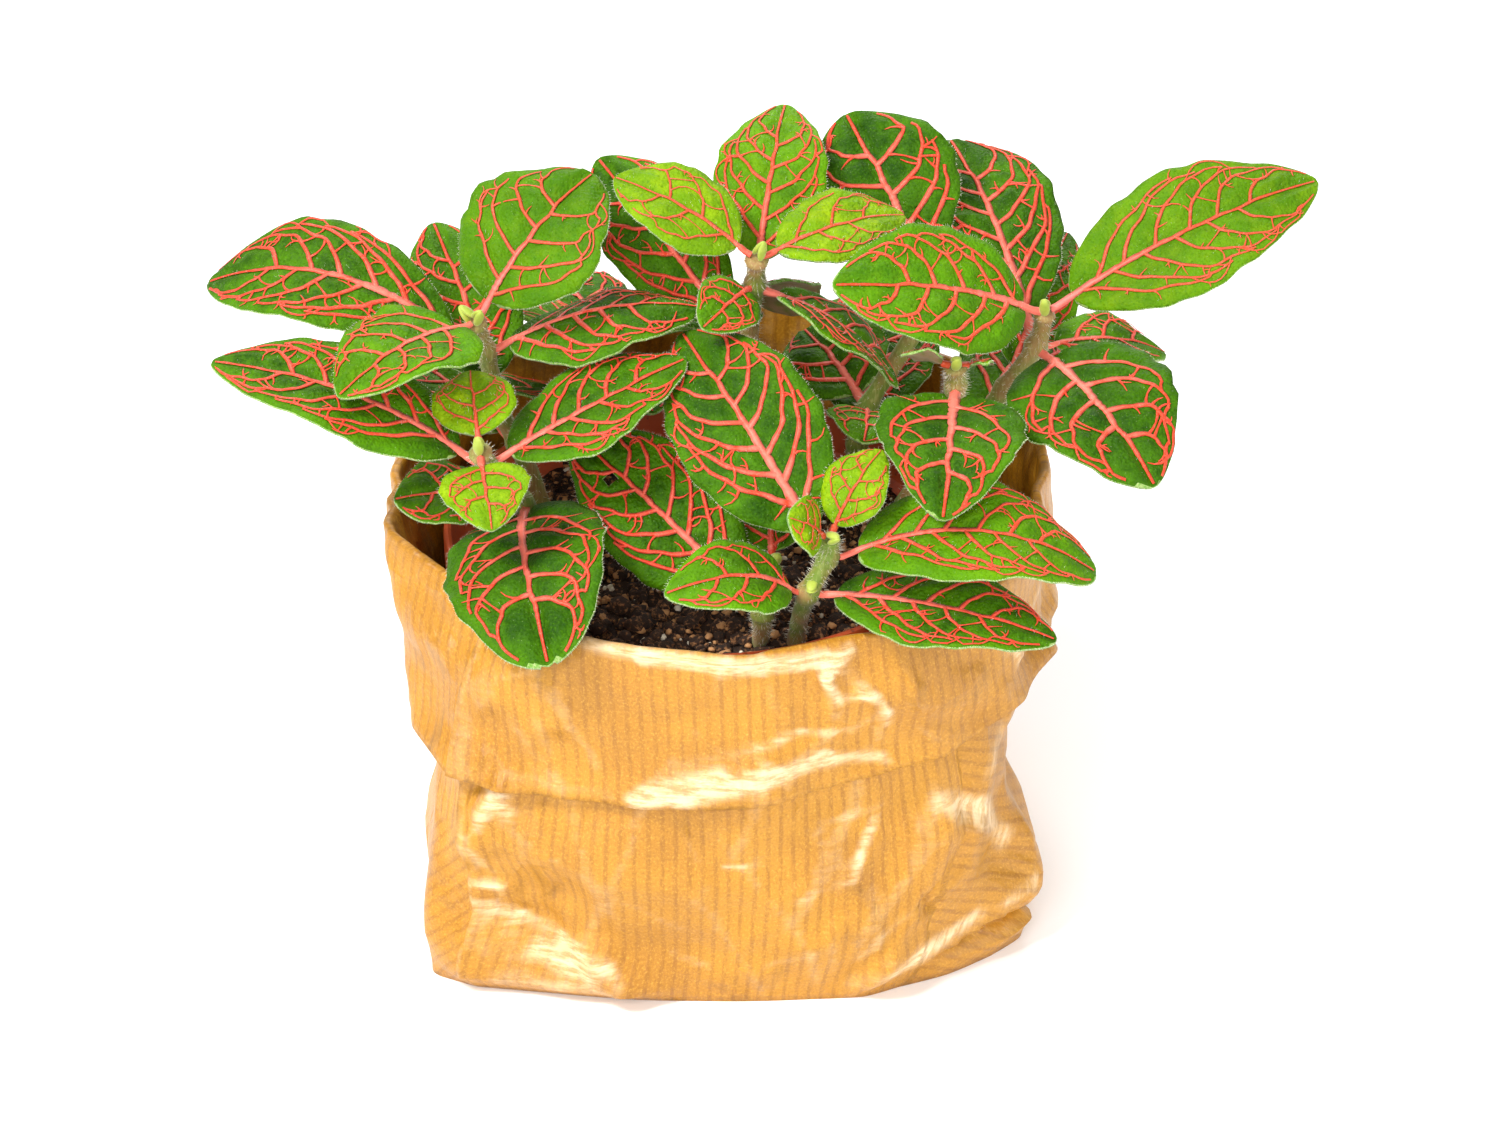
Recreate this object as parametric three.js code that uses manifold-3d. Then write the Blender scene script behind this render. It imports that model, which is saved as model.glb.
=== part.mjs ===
// Potted nerve plant: a red-veined creeping foliage plant in a nursery pot that stands in a kraft paper
// bag with a turned-out cuff. Millimetres, +Z up. The origin is the middle of the bag's base, on the
// surface that it stands on, and +X is the width seen from the front, which looks along +Y.
import * as THREE from 'three';
import { mergeVertices } from 'three/addons/utils/BufferGeometryUtils.js';
import Module from 'manifold-3d';

const wasm = await Module();
wasm.setup();

// Driving dimensions of the bag
const PAPER = 0.8;
const CUFF_GAP = 0.9;
const FOLD_DROP = 3;
const FOLD_ROUND = 1.6;
const CUFF_HEM = 0.4;
const CUFF_BELLY = 0.35;
const SIDE_STEPS = 4;
const BAG_LEVELS = [0, 14, 28, 45, 62, 82];
const MOUTH_LEVEL = BAG_LEVELS.length - 1;

// Driving dimensions of the nursery pot
const POT_X = -3.5;
const POT_Y = 1.5;
const POT_RIM_R = 51.5;
const POT_TOP_R = 49;
const POT_FOOT_R = 37;
const POT_HEIGHT = 75.5;
const POT_WALL = 1.2;
const POT_RIM_DROP = 8;
const POT_SHOULDER = 1.4;
const POT_CHAMFER = 1.5;
const EDGE = 0.8;
const SEAT_GAP = 0.3;
const POT_FOOT_Z = PAPER + SEAT_GAP;
const DRAIN_HOLES = 6;
const DRAIN_SIDES = 10;
const DRAIN_R = 3;
const DRAIN_RING_R = 24;
const POT_SIDES = 36;

// Driving dimensions of the soil
const SOIL_TOP = 68;
const SOIL_R = 46;
const SOIL_CLEARANCE = 0.5;
const SOIL_FOOT_CHAMFER = 2;
const SOIL_DOME = 1.5;
const SOIL_LUMP = 0.8;
const SOIL_RINGS = 7;
const SOIL_SIDES = 36;

// Driving dimensions of the stems and leaves
const STEM_SIDES = 6;
const STEM_STEPS = 8;
const STEM_SAMPLES = 80;
const STEM_R = 1.9;
const STEM_CLEARANCE = 0.4;
const BUD_R = 1.3;
const COLLAR_R = 2.3;
const COLLAR_SPREAD = 2;
const BLADE = 0.8;
const PETIOLE_R = 0.8;
const PETIOLE_SHARE = 0.09;
const BLADE_START = 0.05;
const BLADE_END = 0.985;
const RIPPLES = 11;
const RIPPLE_SHIFT = 1.3;
const BLADE_ROWS = 7;
const SMALL_BLADE_ROWS = 5;
const SMALL_LEAF_WIDTH = 19;
const BLADE_COLUMNS = [-1, -0.55, 0, 0.55, 1];

// Finishes: base colour, roughness
const KRAFT = { color: 0xd9a566, roughness: 0.72 };
const TERRACOTTA = { color: 0xc8562b, roughness: 0.5 };
const EARTH = { color: 0x2a1d15, roughness: 0.95 };
const STALK = { color: 0x8a7a4a, roughness: 0.7 };
const DARK = { color: 0x2f6a22, roughness: 0.55 };
const MID = { color: 0x4b9a20, roughness: 0.55 };
const LIME = { color: 0x8ccc1e, roughness: 0.55 };

const plant = new THREE.Group();

function addMesh(name, geometry, finish) {
  const material = new THREE.MeshStandardMaterial({ ...finish, metalness: 0 });
  const mesh = new THREE.Mesh(geometry, material);
  mesh.name = name;
  plant.add(mesh);
  return mesh;
}

function fromTriangles(points, index) {
  const geometry = new THREE.BufferGeometry();
  const numbers = points.flatMap((point) => point.toArray());
  geometry.setAttribute('position', new THREE.Float32BufferAttribute(numbers, 3));
  geometry.setIndex(index);
  return geometry;
}

// A closed surface from rings of equal count, capped at both ends by a middle point
function loftGeometry(rings, firstPole, lastPole) {
  const count = rings[0].length;
  const points = [firstPole, ...rings.flat(), lastPole];
  const index = [];
  const at = (ring, side) => 1 + ring * count + (side % count);
  for (let side = 0; side < count; side += 1) {
    index.push(0, at(0, side + 1), at(0, side));
    for (let ring = 0; ring + 1 < rings.length; ring += 1) {
      index.push(at(ring, side), at(ring, side + 1), at(ring + 1, side + 1));
      index.push(at(ring, side), at(ring + 1, side + 1), at(ring + 1, side));
    }
    const last = rings.length - 1;
    index.push(at(last, side), at(last, side + 1), points.length - 1);
  }
  return fromTriangles(points, index);
}

function toSolid(geometry) {
  const bare = geometry.clone();
  bare.deleteAttribute('normal');
  bare.deleteAttribute('uv');
  const merged = mergeVertices(bare, 1e-4);
  return new wasm.Manifold(new wasm.Mesh({
    numProp: 3,
    vertProperties: new Float32Array(merged.attributes.position.array),
    triVerts: new Uint32Array(merged.index.array),
  }));
}

function toGeometry(solid) {
  const mesh = solid.getMesh();
  const geometry = new THREE.BufferGeometry();
  geometry.setAttribute('position', new THREE.BufferAttribute(new Float32Array(mesh.vertProperties), 3));
  geometry.setIndex([...mesh.triVerts]);
  return geometry;
}

function joined(geometries) {
  return geometries.map(toSolid).reduce((whole, piece) => whole.add(piece));
}

// Paper bag. Each level lists the outside of the wall at the bag's creases, counter-clockwise from the
// front-left crease: front at left, middle and right, the bulge of the right gusset, its corner, the
// right side, the back corners with the back between them, the left side and the left front corner.
const BAG_CREASES = [
  [[-48, -51], [-16, -55.5], [6, -56], [29, -54.5], [45, -46.5], [59, -34], [58, 2], [54, 47],
    [20, 55], [-20, 55], [-54, 48], [-57.5, 2], [-57.5, -47]],
  [[-48.5, -51.5], [-16, -56], [8, -56.5], [35, -52], [47.5, -44], [60, -31], [59, 4], [54.5, 47.5],
    [20, 56], [-20, 56], [-54.5, 48], [-58.5, 2], [-57, -45.5]],
  [[-48.5, -50.5], [-16, -56], [9, -56.5], [43, -47.5], [49.5, -39], [55, -26], [56, 4], [54, 45],
    [21, 57], [-20, 56.5], [-53, 46], [-56.5, 2], [-55.5, -41]],
  [[-48.5, -46.5], [-16, -55.5], [9, -55.5], [43, -44], [50, -36], [55.5, -20], [58, 6], [53, 42],
    [22, 57], [-20, 57], [-52, 43], [-55.5, 2], [-55, -34]],
  [[-46.5, -41.5], [-17, -54.5], [8, -54.5], [37, -45.5], [49, -35], [57.5, -17], [60.5, 6], [52, 38],
    [22, 57], [-20, 57.5], [-51.5, 40], [-57.5, 2], [-56, -25]],
  [[-40, -36.5], [-17, -52.5], [7, -53.5], [30, -48.5], [47, -35], [58.5, -15], [63, 8], [51, 36],
    [22, 57], [-20, 57.5], [-51, 39], [-61.5, 4], [-61.5, -16]],
];
// Height of the mouth, of the cuff's lower edge, and how far that edge stands out, at the same creases
const MOUTH_Z = [81, 82, 81.5, 82, 84, 87, 89, 92, 96, 95, 90, 85, 84.5];
const CUFF_Z = [49.5, 48, 49, 52.5, 57, 59, 58, 60, 64, 63, 57, 51, 50.5];
const CUFF_FLARE = [2, 3, 3, 2.4, 2.2, 3, 5, 3.5, 3, 3, 2.6, 1.4, 1.2];

function alongCreases(values, side) {
  const from = Math.floor(side / SIDE_STEPS);
  const blend = side / SIDE_STEPS - from;
  const next = (from + 1) % values.length;
  return values[from] + (values[next] - values[from]) * blend;
}

function bagOutline(level, side) {
  const x = alongCreases(BAG_CREASES[level].map((crease) => crease[0]), side);
  const y = alongCreases(BAG_CREASES[level].map((crease) => crease[1]), side);
  return new THREE.Vector2(x, y);
}

function bagWallPoint(z, side, outwards) {
  let level = 0;
  while (level + 2 < BAG_LEVELS.length && BAG_LEVELS[level + 1] < z) level += 1;
  const share = (z - BAG_LEVELS[level]) / (BAG_LEVELS[level + 1] - BAG_LEVELS[level]);
  const blend = Math.min(share, 1.2);
  const point = bagOutline(level, side).lerp(bagOutline(level + 1, side), blend);
  const reach = point.length();
  point.multiplyScalar((reach + outwards) / reach);
  return new THREE.Vector3(point.x, point.y, z);
}

function bagRing(heightAt, outwardsAt) {
  const count = MOUTH_Z.length * SIDE_STEPS;
  return Array.from({ length: count }, (_, side) => bagWallPoint(heightAt(side), side, outwardsAt(side)));
}

function makeBag() {
  const mouth = (side) => alongCreases(MOUTH_Z, side);
  const cuffEdge = (side) => alongCreases(CUFF_Z, side);
  const flare = (side) => alongCreases(CUFF_FLARE, side);
  const gapTop = (side) => mouth(side) - FOLD_DROP;
  const foldSide = (side) => mouth(side) - FOLD_ROUND;
  const cuffMiddle = (side) => (cuffEdge(side) + mouth(side)) / 2;
  const foldOut = CUFF_GAP + PAPER;
  const walls = BAG_LEVELS.slice(0, MOUTH_LEVEL);
  const rings = [
    ...walls.map((z) => bagRing(() => z, () => 0)),
    bagRing(gapTop, () => 0),
    bagRing(gapTop, () => CUFF_GAP),
    bagRing((side) => cuffEdge(side) + CUFF_HEM, flare),
    bagRing(cuffEdge, (side) => flare(side) + PAPER),
    bagRing(cuffMiddle, (side) => foldOut + flare(side) * CUFF_BELLY),
    bagRing(foldSide, () => foldOut),
    bagRing(mouth, () => foldOut / 2 - PAPER / 2),
    bagRing(foldSide, () => -PAPER),
    ...walls.slice(1).reverse().map((z) => bagRing(() => z, () => -PAPER)),
    bagRing(() => PAPER, () => -PAPER),
  ];
  const under = new THREE.Vector3(0, 0, 0);
  const floor = new THREE.Vector3(0, 0, PAPER);
  addMesh('paper_bag', loftGeometry(rings, under, floor), KRAFT);
}

// Nursery pot: one wall with a rolled rim band and drain holes in its foot
function makePot() {
  const bandFoot = POT_FOOT_Z + POT_HEIGHT - POT_RIM_DROP;
  const top = POT_FOOT_Z + POT_HEIGHT;
  const bodyTop = POT_TOP_R - POT_SHOULDER;
  const inside = bodyTop - POT_WALL;
  const profile = [
    [0, POT_FOOT_Z], [POT_FOOT_R - POT_CHAMFER, POT_FOOT_Z], [POT_FOOT_R, POT_FOOT_Z + POT_CHAMFER],
    [bodyTop, bandFoot], [POT_RIM_R - EDGE, bandFoot], [POT_RIM_R, bandFoot + EDGE],
    [POT_RIM_R, top - EDGE], [POT_RIM_R - EDGE, top], [POT_RIM_R - 2 * EDGE, top - EDGE],
    [POT_TOP_R - POT_WALL / 2, bandFoot + EDGE], [inside, bandFoot - EDGE],
    [POT_FOOT_R - POT_WALL, POT_FOOT_Z + POT_WALL], [0, POT_FOOT_Z + POT_WALL],
  ].map(([r, z]) => new THREE.Vector2(r, z));
  let pot = toSolid(new THREE.LatheGeometry(profile, POT_SIDES).rotateX(Math.PI / 2));
  for (let hole = 0; hole < DRAIN_HOLES; hole += 1) {
    const angle = (hole / DRAIN_HOLES) * 2 * Math.PI;
    const drain = new THREE.CylinderGeometry(DRAIN_R, DRAIN_R, 4 * POT_WALL, DRAIN_SIDES);
    drain.rotateX(Math.PI / 2);
    drain.translate(DRAIN_RING_R * Math.cos(angle), DRAIN_RING_R * Math.sin(angle), POT_FOOT_Z);
    pot = pot.subtract(toSolid(drain));
  }
  addMesh('nursery_pot', toGeometry(pot), TERRACOTTA).position.set(POT_X, POT_Y, 0);
}

// Stems: each path starts in the soil and passes its leaf nodes, ending in a bud
const STEMS = {
  left: {
    path: [[-31, 8, 56], [-37, 6, 82], [-43, 0, 103], [-45, -2, 116], [-46.4, -6, 124.3]],
    collars: [[-40, 3, 92.5], [-43, 0, 103], [-45, -2, 116], [-46.4, -6, 124.3]],
    buds: [[-45.6, -7.4, 126.4], [-48.3, -5.4, 126.2]],
  },
  left_front: {
    path: [[-28, -8, 56], [-33, -8, 74], [-38, -12, 88], [-42, -22, 98], [-43.5, -27, 104.6],
      [-44.5, -30, 109.3]],
    collars: [[-38, -12, 88], [-43.5, -27, 104.6], [-44.5, -30, 109.3]],
    buds: [[-44.6, -31.2, 112]],
  },
  middle: {
    path: [[0, 6, 56], [3, 7, 90], [5.5, 6, 112], [7, 3, 128], [7.3, 0, 134.8]],
    collars: [[5.5, 6, 112], [7, 3, 128], [7.3, 0, 134.8]],
    buds: [[8.2, -1, 137.6]],
  },
  right: {
    path: [[34, 8, 56], [44, 6, 85], [56, 5, 104], [61.6, 4, 114], [62.9, 2, 122.3]],
    collars: [[50, 5.5, 94.5], [56, 5, 104], [61.6, 4, 114], [62.9, 2, 122.3]],
    buds: [[62.6, 0.4, 124.8]],
  },
  front: {
    path: [[14, -30, 56], [15, -34, 72], [17, -42, 86], [20.5, -42, 93.8], [20.5, -42.5, 98]],
    collars: [[17, -42, 86], [20.5, -42, 93.8], [20.5, -42.5, 98]],
    buds: [[21.6, -44.6, 99.2], [17.5, -44.4, 88.4]],
  },
  front_small: {
    path: [[6, -26, 56], [8.3, -36, 74], [8.4, -37, 78], [10.2, -31, 85.9]],
    collars: [[8.4, -37, 78], [10.2, -31, 85.9]],
    buds: [[11, -32.6, 87.8]],
  },
  right_front: {
    path: [[30, -8, 56], [36, -10, 85], [43, -13, 106], [45.1, -14, 114.9], [44.8, -15, 119.5]],
    collars: [[36.5, -10, 87], [45.1, -14, 114.9], [44.8, -15, 119.5]],
    buds: [[44.9, -16.6, 121.4]],
  },
  back_right: {
    path: [[22, 20, 56], [27.5, 15, 86], [29.4, 12, 96], [39, 14, 113], [42, 15, 121]],
    collars: [[27.5, 15, 86], [29.4, 12, 96], [42, 15, 121]],
    buds: [[42, 13.4, 123.2]],
  },
  back_left: {
    path: [[-16, 24, 56], [-19, 29, 76], [-21, 33, 90], [-22, 34, 97]],
    collars: [[-20, 31, 83], [-21.5, 33.5, 93], [-22, 34, 98]],
    buds: [[-22.2, 32.4, 100.2]],
  },
};

function curveThrough(path) {
  return new THREE.CatmullRomCurve3(path.map((place) => new THREE.Vector3(...place)));
}

// Share of the curve's length at which it passes nearest to a place
function shareNearest(curve, place) {
  const target = new THREE.Vector3(...place);
  const shares = Array.from({ length: STEM_SAMPLES + 1 }, (_, step) => step / STEM_SAMPLES);
  const distances = shares.map((share) => curve.getPointAt(share).distanceTo(target));
  return shares[distances.indexOf(Math.min(...distances))];
}

// A six-sided stem with a swollen collar at each leaf node; extra widens it all over
function stemTube(path, collars, extra) {
  const curve = curveThrough(path);
  const spread = COLLAR_SPREAD / curve.getLength();
  const swellings = collars.map((place) => shareNearest(curve, place));
  const plain = Array.from({ length: STEM_STEPS }, (_, step) => step / STEM_STEPS);
  const isPlain = (share) => swellings.every((swelling) => Math.abs(swelling - share) > 2 * spread);
  const stations = plain.filter(isPlain).map((share) => [share, STEM_R]);
  swellings.forEach((swelling) => {
    stations.push([swelling - spread, STEM_R], [swelling, COLLAR_R]);
    if (swelling + spread < 1) stations.push([swelling + spread, STEM_R]);
  });
  stations.sort((one, other) => one[0] - other[0]);
  const frames = curve.computeFrenetFrames(STEM_SAMPLES);
  const rings = stations.map(([share, radius]) => {
    const frame = Math.round(share * STEM_SAMPLES);
    return Array.from({ length: STEM_SIDES }, (_, side) => {
      const angle = (side / STEM_SIDES) * 2 * Math.PI;
      return curve.getPointAt(share)
        .addScaledVector(frames.normals[frame], (radius + extra) * Math.cos(angle))
        .addScaledVector(frames.binormals[frame], (radius + extra) * Math.sin(angle));
    });
  });
  const top = curve.getPointAt(1).addScaledVector(curve.getTangentAt(1), STEM_R / 2);
  return loftGeometry(rings, curve.getPointAt(0), top);
}

// A folded bud that grows from the nearest point of its stem
function budGeometry(path, place) {
  const curve = curveThrough(path);
  const root = curve.getPointAt(shareNearest(curve, place));
  const growth = new THREE.Vector3(...place).sub(root);
  const length = growth.length() + BUD_R;
  const turn = new THREE.Quaternion().setFromUnitVectors(new THREE.Vector3(0, 0, 1), growth.normalize());
  const middle = root.addScaledVector(growth, length / 2);
  const bud = new THREE.IcosahedronGeometry(1, 0).scale(BUD_R, BUD_R, length / 2);
  return bud.applyQuaternion(turn).translate(...middle);
}

function makeStem(name, { path, collars, buds }) {
  const pieces = [stemTube(path, collars, 0), ...buds.map((place) => budGeometry(path, place))];
  addMesh(`stem_${name}`, toGeometry(joined(pieces)), STALK);
}

// Soil: a lumpy top inside the pot, with a plain hole around the foot of each stem
function soilHeight(x, y) {
  const dome = SOIL_DOME * (1 - (x * x + y * y) / (SOIL_R * SOIL_R));
  const lumps = Math.sin(x * 0.31 + 1) * Math.cos(y * 0.27) + 0.6 * Math.sin(x * 0.72 - y * 0.55);
  return SOIL_TOP + dome + SOIL_LUMP * lumps;
}

// Radius that the soil may fill at a height, clear of the pot's tapered wall
function soilRadius(z) {
  const bodyHeight = POT_HEIGHT - POT_RIM_DROP - POT_CHAMFER;
  const slope = (POT_TOP_R - POT_SHOULDER - POT_FOOT_R) / bodyHeight;
  return POT_FOOT_R - POT_WALL - SOIL_CLEARANCE + (z - POT_FOOT_Z - POT_CHAMFER) * slope;
}

function makeSoil() {
  const floor = POT_FOOT_Z + POT_WALL + SEAT_GAP;
  const foot = soilRadius(floor + SOIL_FOOT_CHAMFER);
  const ring = (radius, heightAt) => Array.from({ length: SOIL_SIDES }, (_, side) => {
    const angle = (side / SOIL_SIDES) * 2 * Math.PI;
    const x = radius * Math.cos(angle);
    const y = radius * Math.sin(angle);
    return new THREE.Vector3(x, y, heightAt(x, y));
  });
  const rings = [ring(foot - SOIL_FOOT_CHAMFER, () => floor), ring(foot, () => floor + SOIL_FOOT_CHAMFER)];
  for (let row = SOIL_RINGS; row > 0; row -= 1) {
    rings.push(ring((SOIL_R * row) / SOIL_RINGS, soilHeight));
  }
  const top = new THREE.Vector3(0, 0, soilHeight(0, 0));
  const body = loftGeometry(rings, new THREE.Vector3(0, 0, floor), top);
  let soil = toSolid(body.translate(POT_X, POT_Y, 0));
  Object.values(STEMS).forEach(({ path, collars }) => {
    const [x, y, z] = path[0];
    const hole = stemTube([[x, y, z - SEAT_GAP], ...path.slice(1)], collars, STEM_CLEARANCE);
    soil = soil.subtract(toSolid(hole));
  });
  addMesh('soil', toGeometry(soil), EARTH);
}

// Leaves: at is the collar that carries the petiole, tip the far end and face roughly the way that the
// upper side looks. lift arches the midrib, fold raises the halves from the midrib, curl lets the margins
// fall back and wave ripples them, all as shares of the length or of the half width.
const LEAVES = {
  left_low_left: {
    at: [-45, -2, 116], tip: [-100, 13, 123], face: [-0.2, -0.4, 0.9],
    width: 25, lift: 0.24, full: 1.05, finish: DARK,
  },
  left_low_right: {
    at: [-45, -2, 116], tip: [-3.5, -1, 124.9], face: [0.1, -0.05, 1],
    width: 24, fold: -0.2, curl: 0.08, finish: DARK,
  },
  left_top_right: {
    at: [-46.4, -6, 124.3], tip: [-24, 14, 146], face: [-0.3, -0.6, 0.7],
    width: 29, finish: LIME,
  },
  left_top_left: {
    at: [-46.4, -6, 124.3], tip: [-70, -32, 122], face: [-0.2, -0.3, 0.9],
    width: 26, full: 0.62, finish: MID,
  },
  left_back: {
    at: [-43, 0, 103], tip: [-57, 30, 128], face: [0.1, -0.5, 0.8],
    width: 22, reach: 3.2, finish: DARK,
  },
  left_front_left: {
    at: [-43.5, -27, 104.6], tip: [-95, -20, 123], face: [-0.2, -0.2, 0.95],
    width: 23, reach: 2.9, finish: DARK,
  },
  left_front_right: {
    at: [-43.5, -27, 104.6], tip: [-6, -14, 120.5], face: [-0.15, -0.25, 0.93],
    width: 23, lift: 0.02, finish: DARK,
  },
  left_front_up: {
    at: [-44.5, -30, 109.3], tip: [-47, -14, 118], face: [0, -0.5, 0.8],
    width: 16, finish: LIME,
  },
  left_front_down: {
    at: [-44.5, -30, 109.3], tip: [-41.5, -46, 101.6], face: [0, -0.6, 0.8],
    width: 17, full: 0.66, finish: LIME,
  },
  left_front_small: {
    at: [-38, -12, 88], tip: [-62.5, -18, 92], face: [-0.2, -0.3, 0.9],
    width: 18, full: 1.15, reach: 3.3, finish: DARK,
  },
  left_front_drape: {
    at: [-38, -12, 88], tip: [-31, -60, 81], face: [-0.25, -0.3, 0.9],
    width: 31, lift: 0.14, reach: 2.8, finish: DARK,
  },
  middle_young_left: {
    at: [7.3, 0, 134.8], tip: [-20, 10, 147], face: [0.1, -0.5, 0.85],
    width: 18, finish: LIME,
  },
  middle_young_right: {
    at: [7.3, 0, 134.8], tip: [36, 12, 138], face: [0, -0.4, 0.9],
    width: 17, finish: LIME,
  },
  middle_up: {
    at: [7, 3, 128], tip: [13, 40, 149], face: [0, -0.34, 0.94],
    width: 22, finish: MID,
  },
  middle_back_left: {
    at: [5.5, 6, 112], tip: [-24, 31, 141.5], face: [-0.2, -0.55, 0.75],
    width: 22, full: 1.1, reach: 3.0, finish: DARK,
  },
  middle_front: {
    at: [7, 3, 128], tip: [-3, -14, 127], face: [0.3, -0.5, 0.8],
    width: 13, finish: DARK,
  },
  middle_back_hang: {
    at: [7, 3, 128], tip: [15, 29, 108], face: [0, 0.7, 0.75],
    width: 16, full: 1.2, reach: 3.9, finish: MID,
  },
  middle_right_low: {
    at: [7, 3, 128], tip: [35, 0, 107], face: [0.6, 0.05, 0.75],
    width: 20, reach: 2.9, finish: DARK,
  },
  right_top_right: {
    at: [62.9, 2, 122.3], tip: [115.5, 15, 144], face: [-0.15, -0.6, 0.75],
    width: 26, finish: LIME,
  },
  right_top_left: {
    at: [62.9, 2, 122.3], tip: [21.4, -12, 135], face: [0, -0.6, 0.8],
    width: 27, finish: MID,
  },
  right_low_front: {
    at: [61.6, 4, 114], tip: [82.4, -28, 100.6], face: [0.2, -0.6, 0.75],
    width: 33, full: 0.68, finish: DARK,
  },
  right_low_back: {
    at: [61.6, 4, 114], tip: [88, 12, 108], face: [0.1, -0.1, 1],
    width: 18, finish: DARK,
  },
  right_up_back: {
    at: [61.6, 4, 114], tip: [46.5, 52, 136], face: [0.1, -0.5, 0.8],
    width: 28, full: 1.05, finish: DARK,
  },
  right_back: {
    at: [56, 5, 104], tip: [70, 38, 122], face: [0.1, -0.3, 0.9],
    width: 16, reach: 3.3, finish: DARK,
  },
  right_back_low: {
    at: [50, 5.5, 94.5], tip: [72, 48, 98], face: [0.2, 0.3, 0.9],
    width: 24, finish: DARK,
  },
  middle_back_low: {
    at: [5.5, 6, 112], tip: [-10, 40, 106], face: [0, 0.3, 0.95],
    width: 20, finish: DARK,
  },
  left_back_low: {
    at: [-40, 3, 92.5], tip: [-66, 26, 100], face: [-0.2, 0.1, 0.95],
    width: 20, finish: DARK,
  },
  right_front_front: {
    at: [45.1, -14, 114.9], tip: [41.3, -48, 105], face: [0, -0.4, 0.9],
    width: 28, full: 0.6, finish: DARK,
  },
  right_front_young_left: {
    at: [44.8, -15, 119.5], tip: [34.5, -17, 123], face: [0, 0.5, 0.7],
    width: 10, finish: LIME,
  },
  right_front_young_right: {
    at: [44.8, -15, 119.5], tip: [52, -13, 119], face: [0, 0.4, 0.8],
    width: 9, finish: LIME,
  },
  right_front_low: {
    at: [36.5, -10, 87], tip: [55, 0, 93], face: [0, -0.3, 0.9],
    width: 12, reach: 2.9, finish: DARK,
  },
  front_young_up: {
    at: [20.5, -42.5, 98], tip: [30.6, -33, 111.5], face: [-0.3, -0.6, 0.6],
    width: 13, reach: 1.8, finish: LIME,
  },
  front_young_low: {
    at: [20.5, -42.5, 98], tip: [13, -48, 105.5], face: [-0.1, -0.6, 0.8],
    width: 12, reach: 2.0, finish: LIME,
  },
  front_left_up: {
    at: [20.5, -42, 93.8], tip: [-7, -4, 121], face: [0, -0.8, 0.6],
    width: 28, lift: 0.15, reach: 3.0, finish: DARK,
  },
  front_right: {
    at: [20.5, -42, 93.8], tip: [70.8, -42, 90], face: [0, -0.3, 0.95],
    width: 24, lift: 0.2, finish: MID,
  },
  front_right_low: {
    at: [17, -42, 86], tip: [62.6, -56, 84], face: [0, -0.2, 0.95],
    width: 22, lift: 0.06, finish: DARK,
  },
  front_left_low: {
    at: [17, -42, 86], tip: [-9.8, -52, 91.5], face: [0, -0.4, 0.9],
    width: 17, lift: 0.2, finish: DARK,
  },
  front_small_left: {
    at: [8.4, -37, 78], tip: [-28, -9, 102], face: [-0.1, -0.7, 0.7],
    width: 25, reach: 3.2, finish: DARK,
  },
  front_small_up: {
    at: [10.2, -31, 85.9], tip: [9.5, -14, 93], face: [0, -0.6, 0.75],
    width: 17, reach: 1.4, finish: DARK,
  },
  back_right_low: {
    at: [29.4, 12, 96], tip: [17, 34, 102], face: [-0.1, -0.4, 0.9],
    width: 24, finish: DARK,
  },
  back_right_front: {
    at: [29.4, 12, 96], tip: [28, -8, 99], face: [0.1, -0.3, 0.9],
    width: 16, finish: DARK,
  },
  back_right_left: {
    at: [42, 15, 121], tip: [25, 40, 147], face: [-0.1, -0.5, 0.8],
    width: 30, full: 1.05, reach: 2.1, finish: DARK,
  },
  back_left_left: {
    at: [-22, 34, 98], tip: [-54, 38, 106], face: [-0.2, 0.2, 0.9],
    width: 22, reach: 1.7, finish: MID,
  },
  back_left_right: {
    at: [-22, 34, 98], tip: [2, 53, 99], face: [0.1, 0.3, 0.9],
    width: 18, lift: 0.05, finish: DARK,
  },
  back_left_front: {
    at: [-21.5, 33.5, 93], tip: [-13, 2, 100], face: [0, -0.2, 0.95],
    width: 20, finish: DARK,
  },
  back_left_back: {
    at: [-21.5, 33.5, 93], tip: [-40, 74, 93], face: [0, 0.3, 0.95],
    width: 24, lift: 0.16, finish: DARK,
  },
  back_left_low: {
    at: [-20, 31, 83], tip: [-58, 24, 92], face: [-0.2, 0.2, 0.95],
    width: 22, finish: DARK,
  },
  back_right_back: {
    at: [27.5, 15, 86], tip: [36, 64, 98], face: [0.1, 0.3, 0.95],
    width: 26, finish: DARK,
  },
};

function bladeHalfWidth(share, width, full, blunt) {
  const along = THREE.MathUtils.clamp(share, 0, 1);
  return (width / 2) * Math.sin(Math.PI * along ** full) ** blunt;
}

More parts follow.
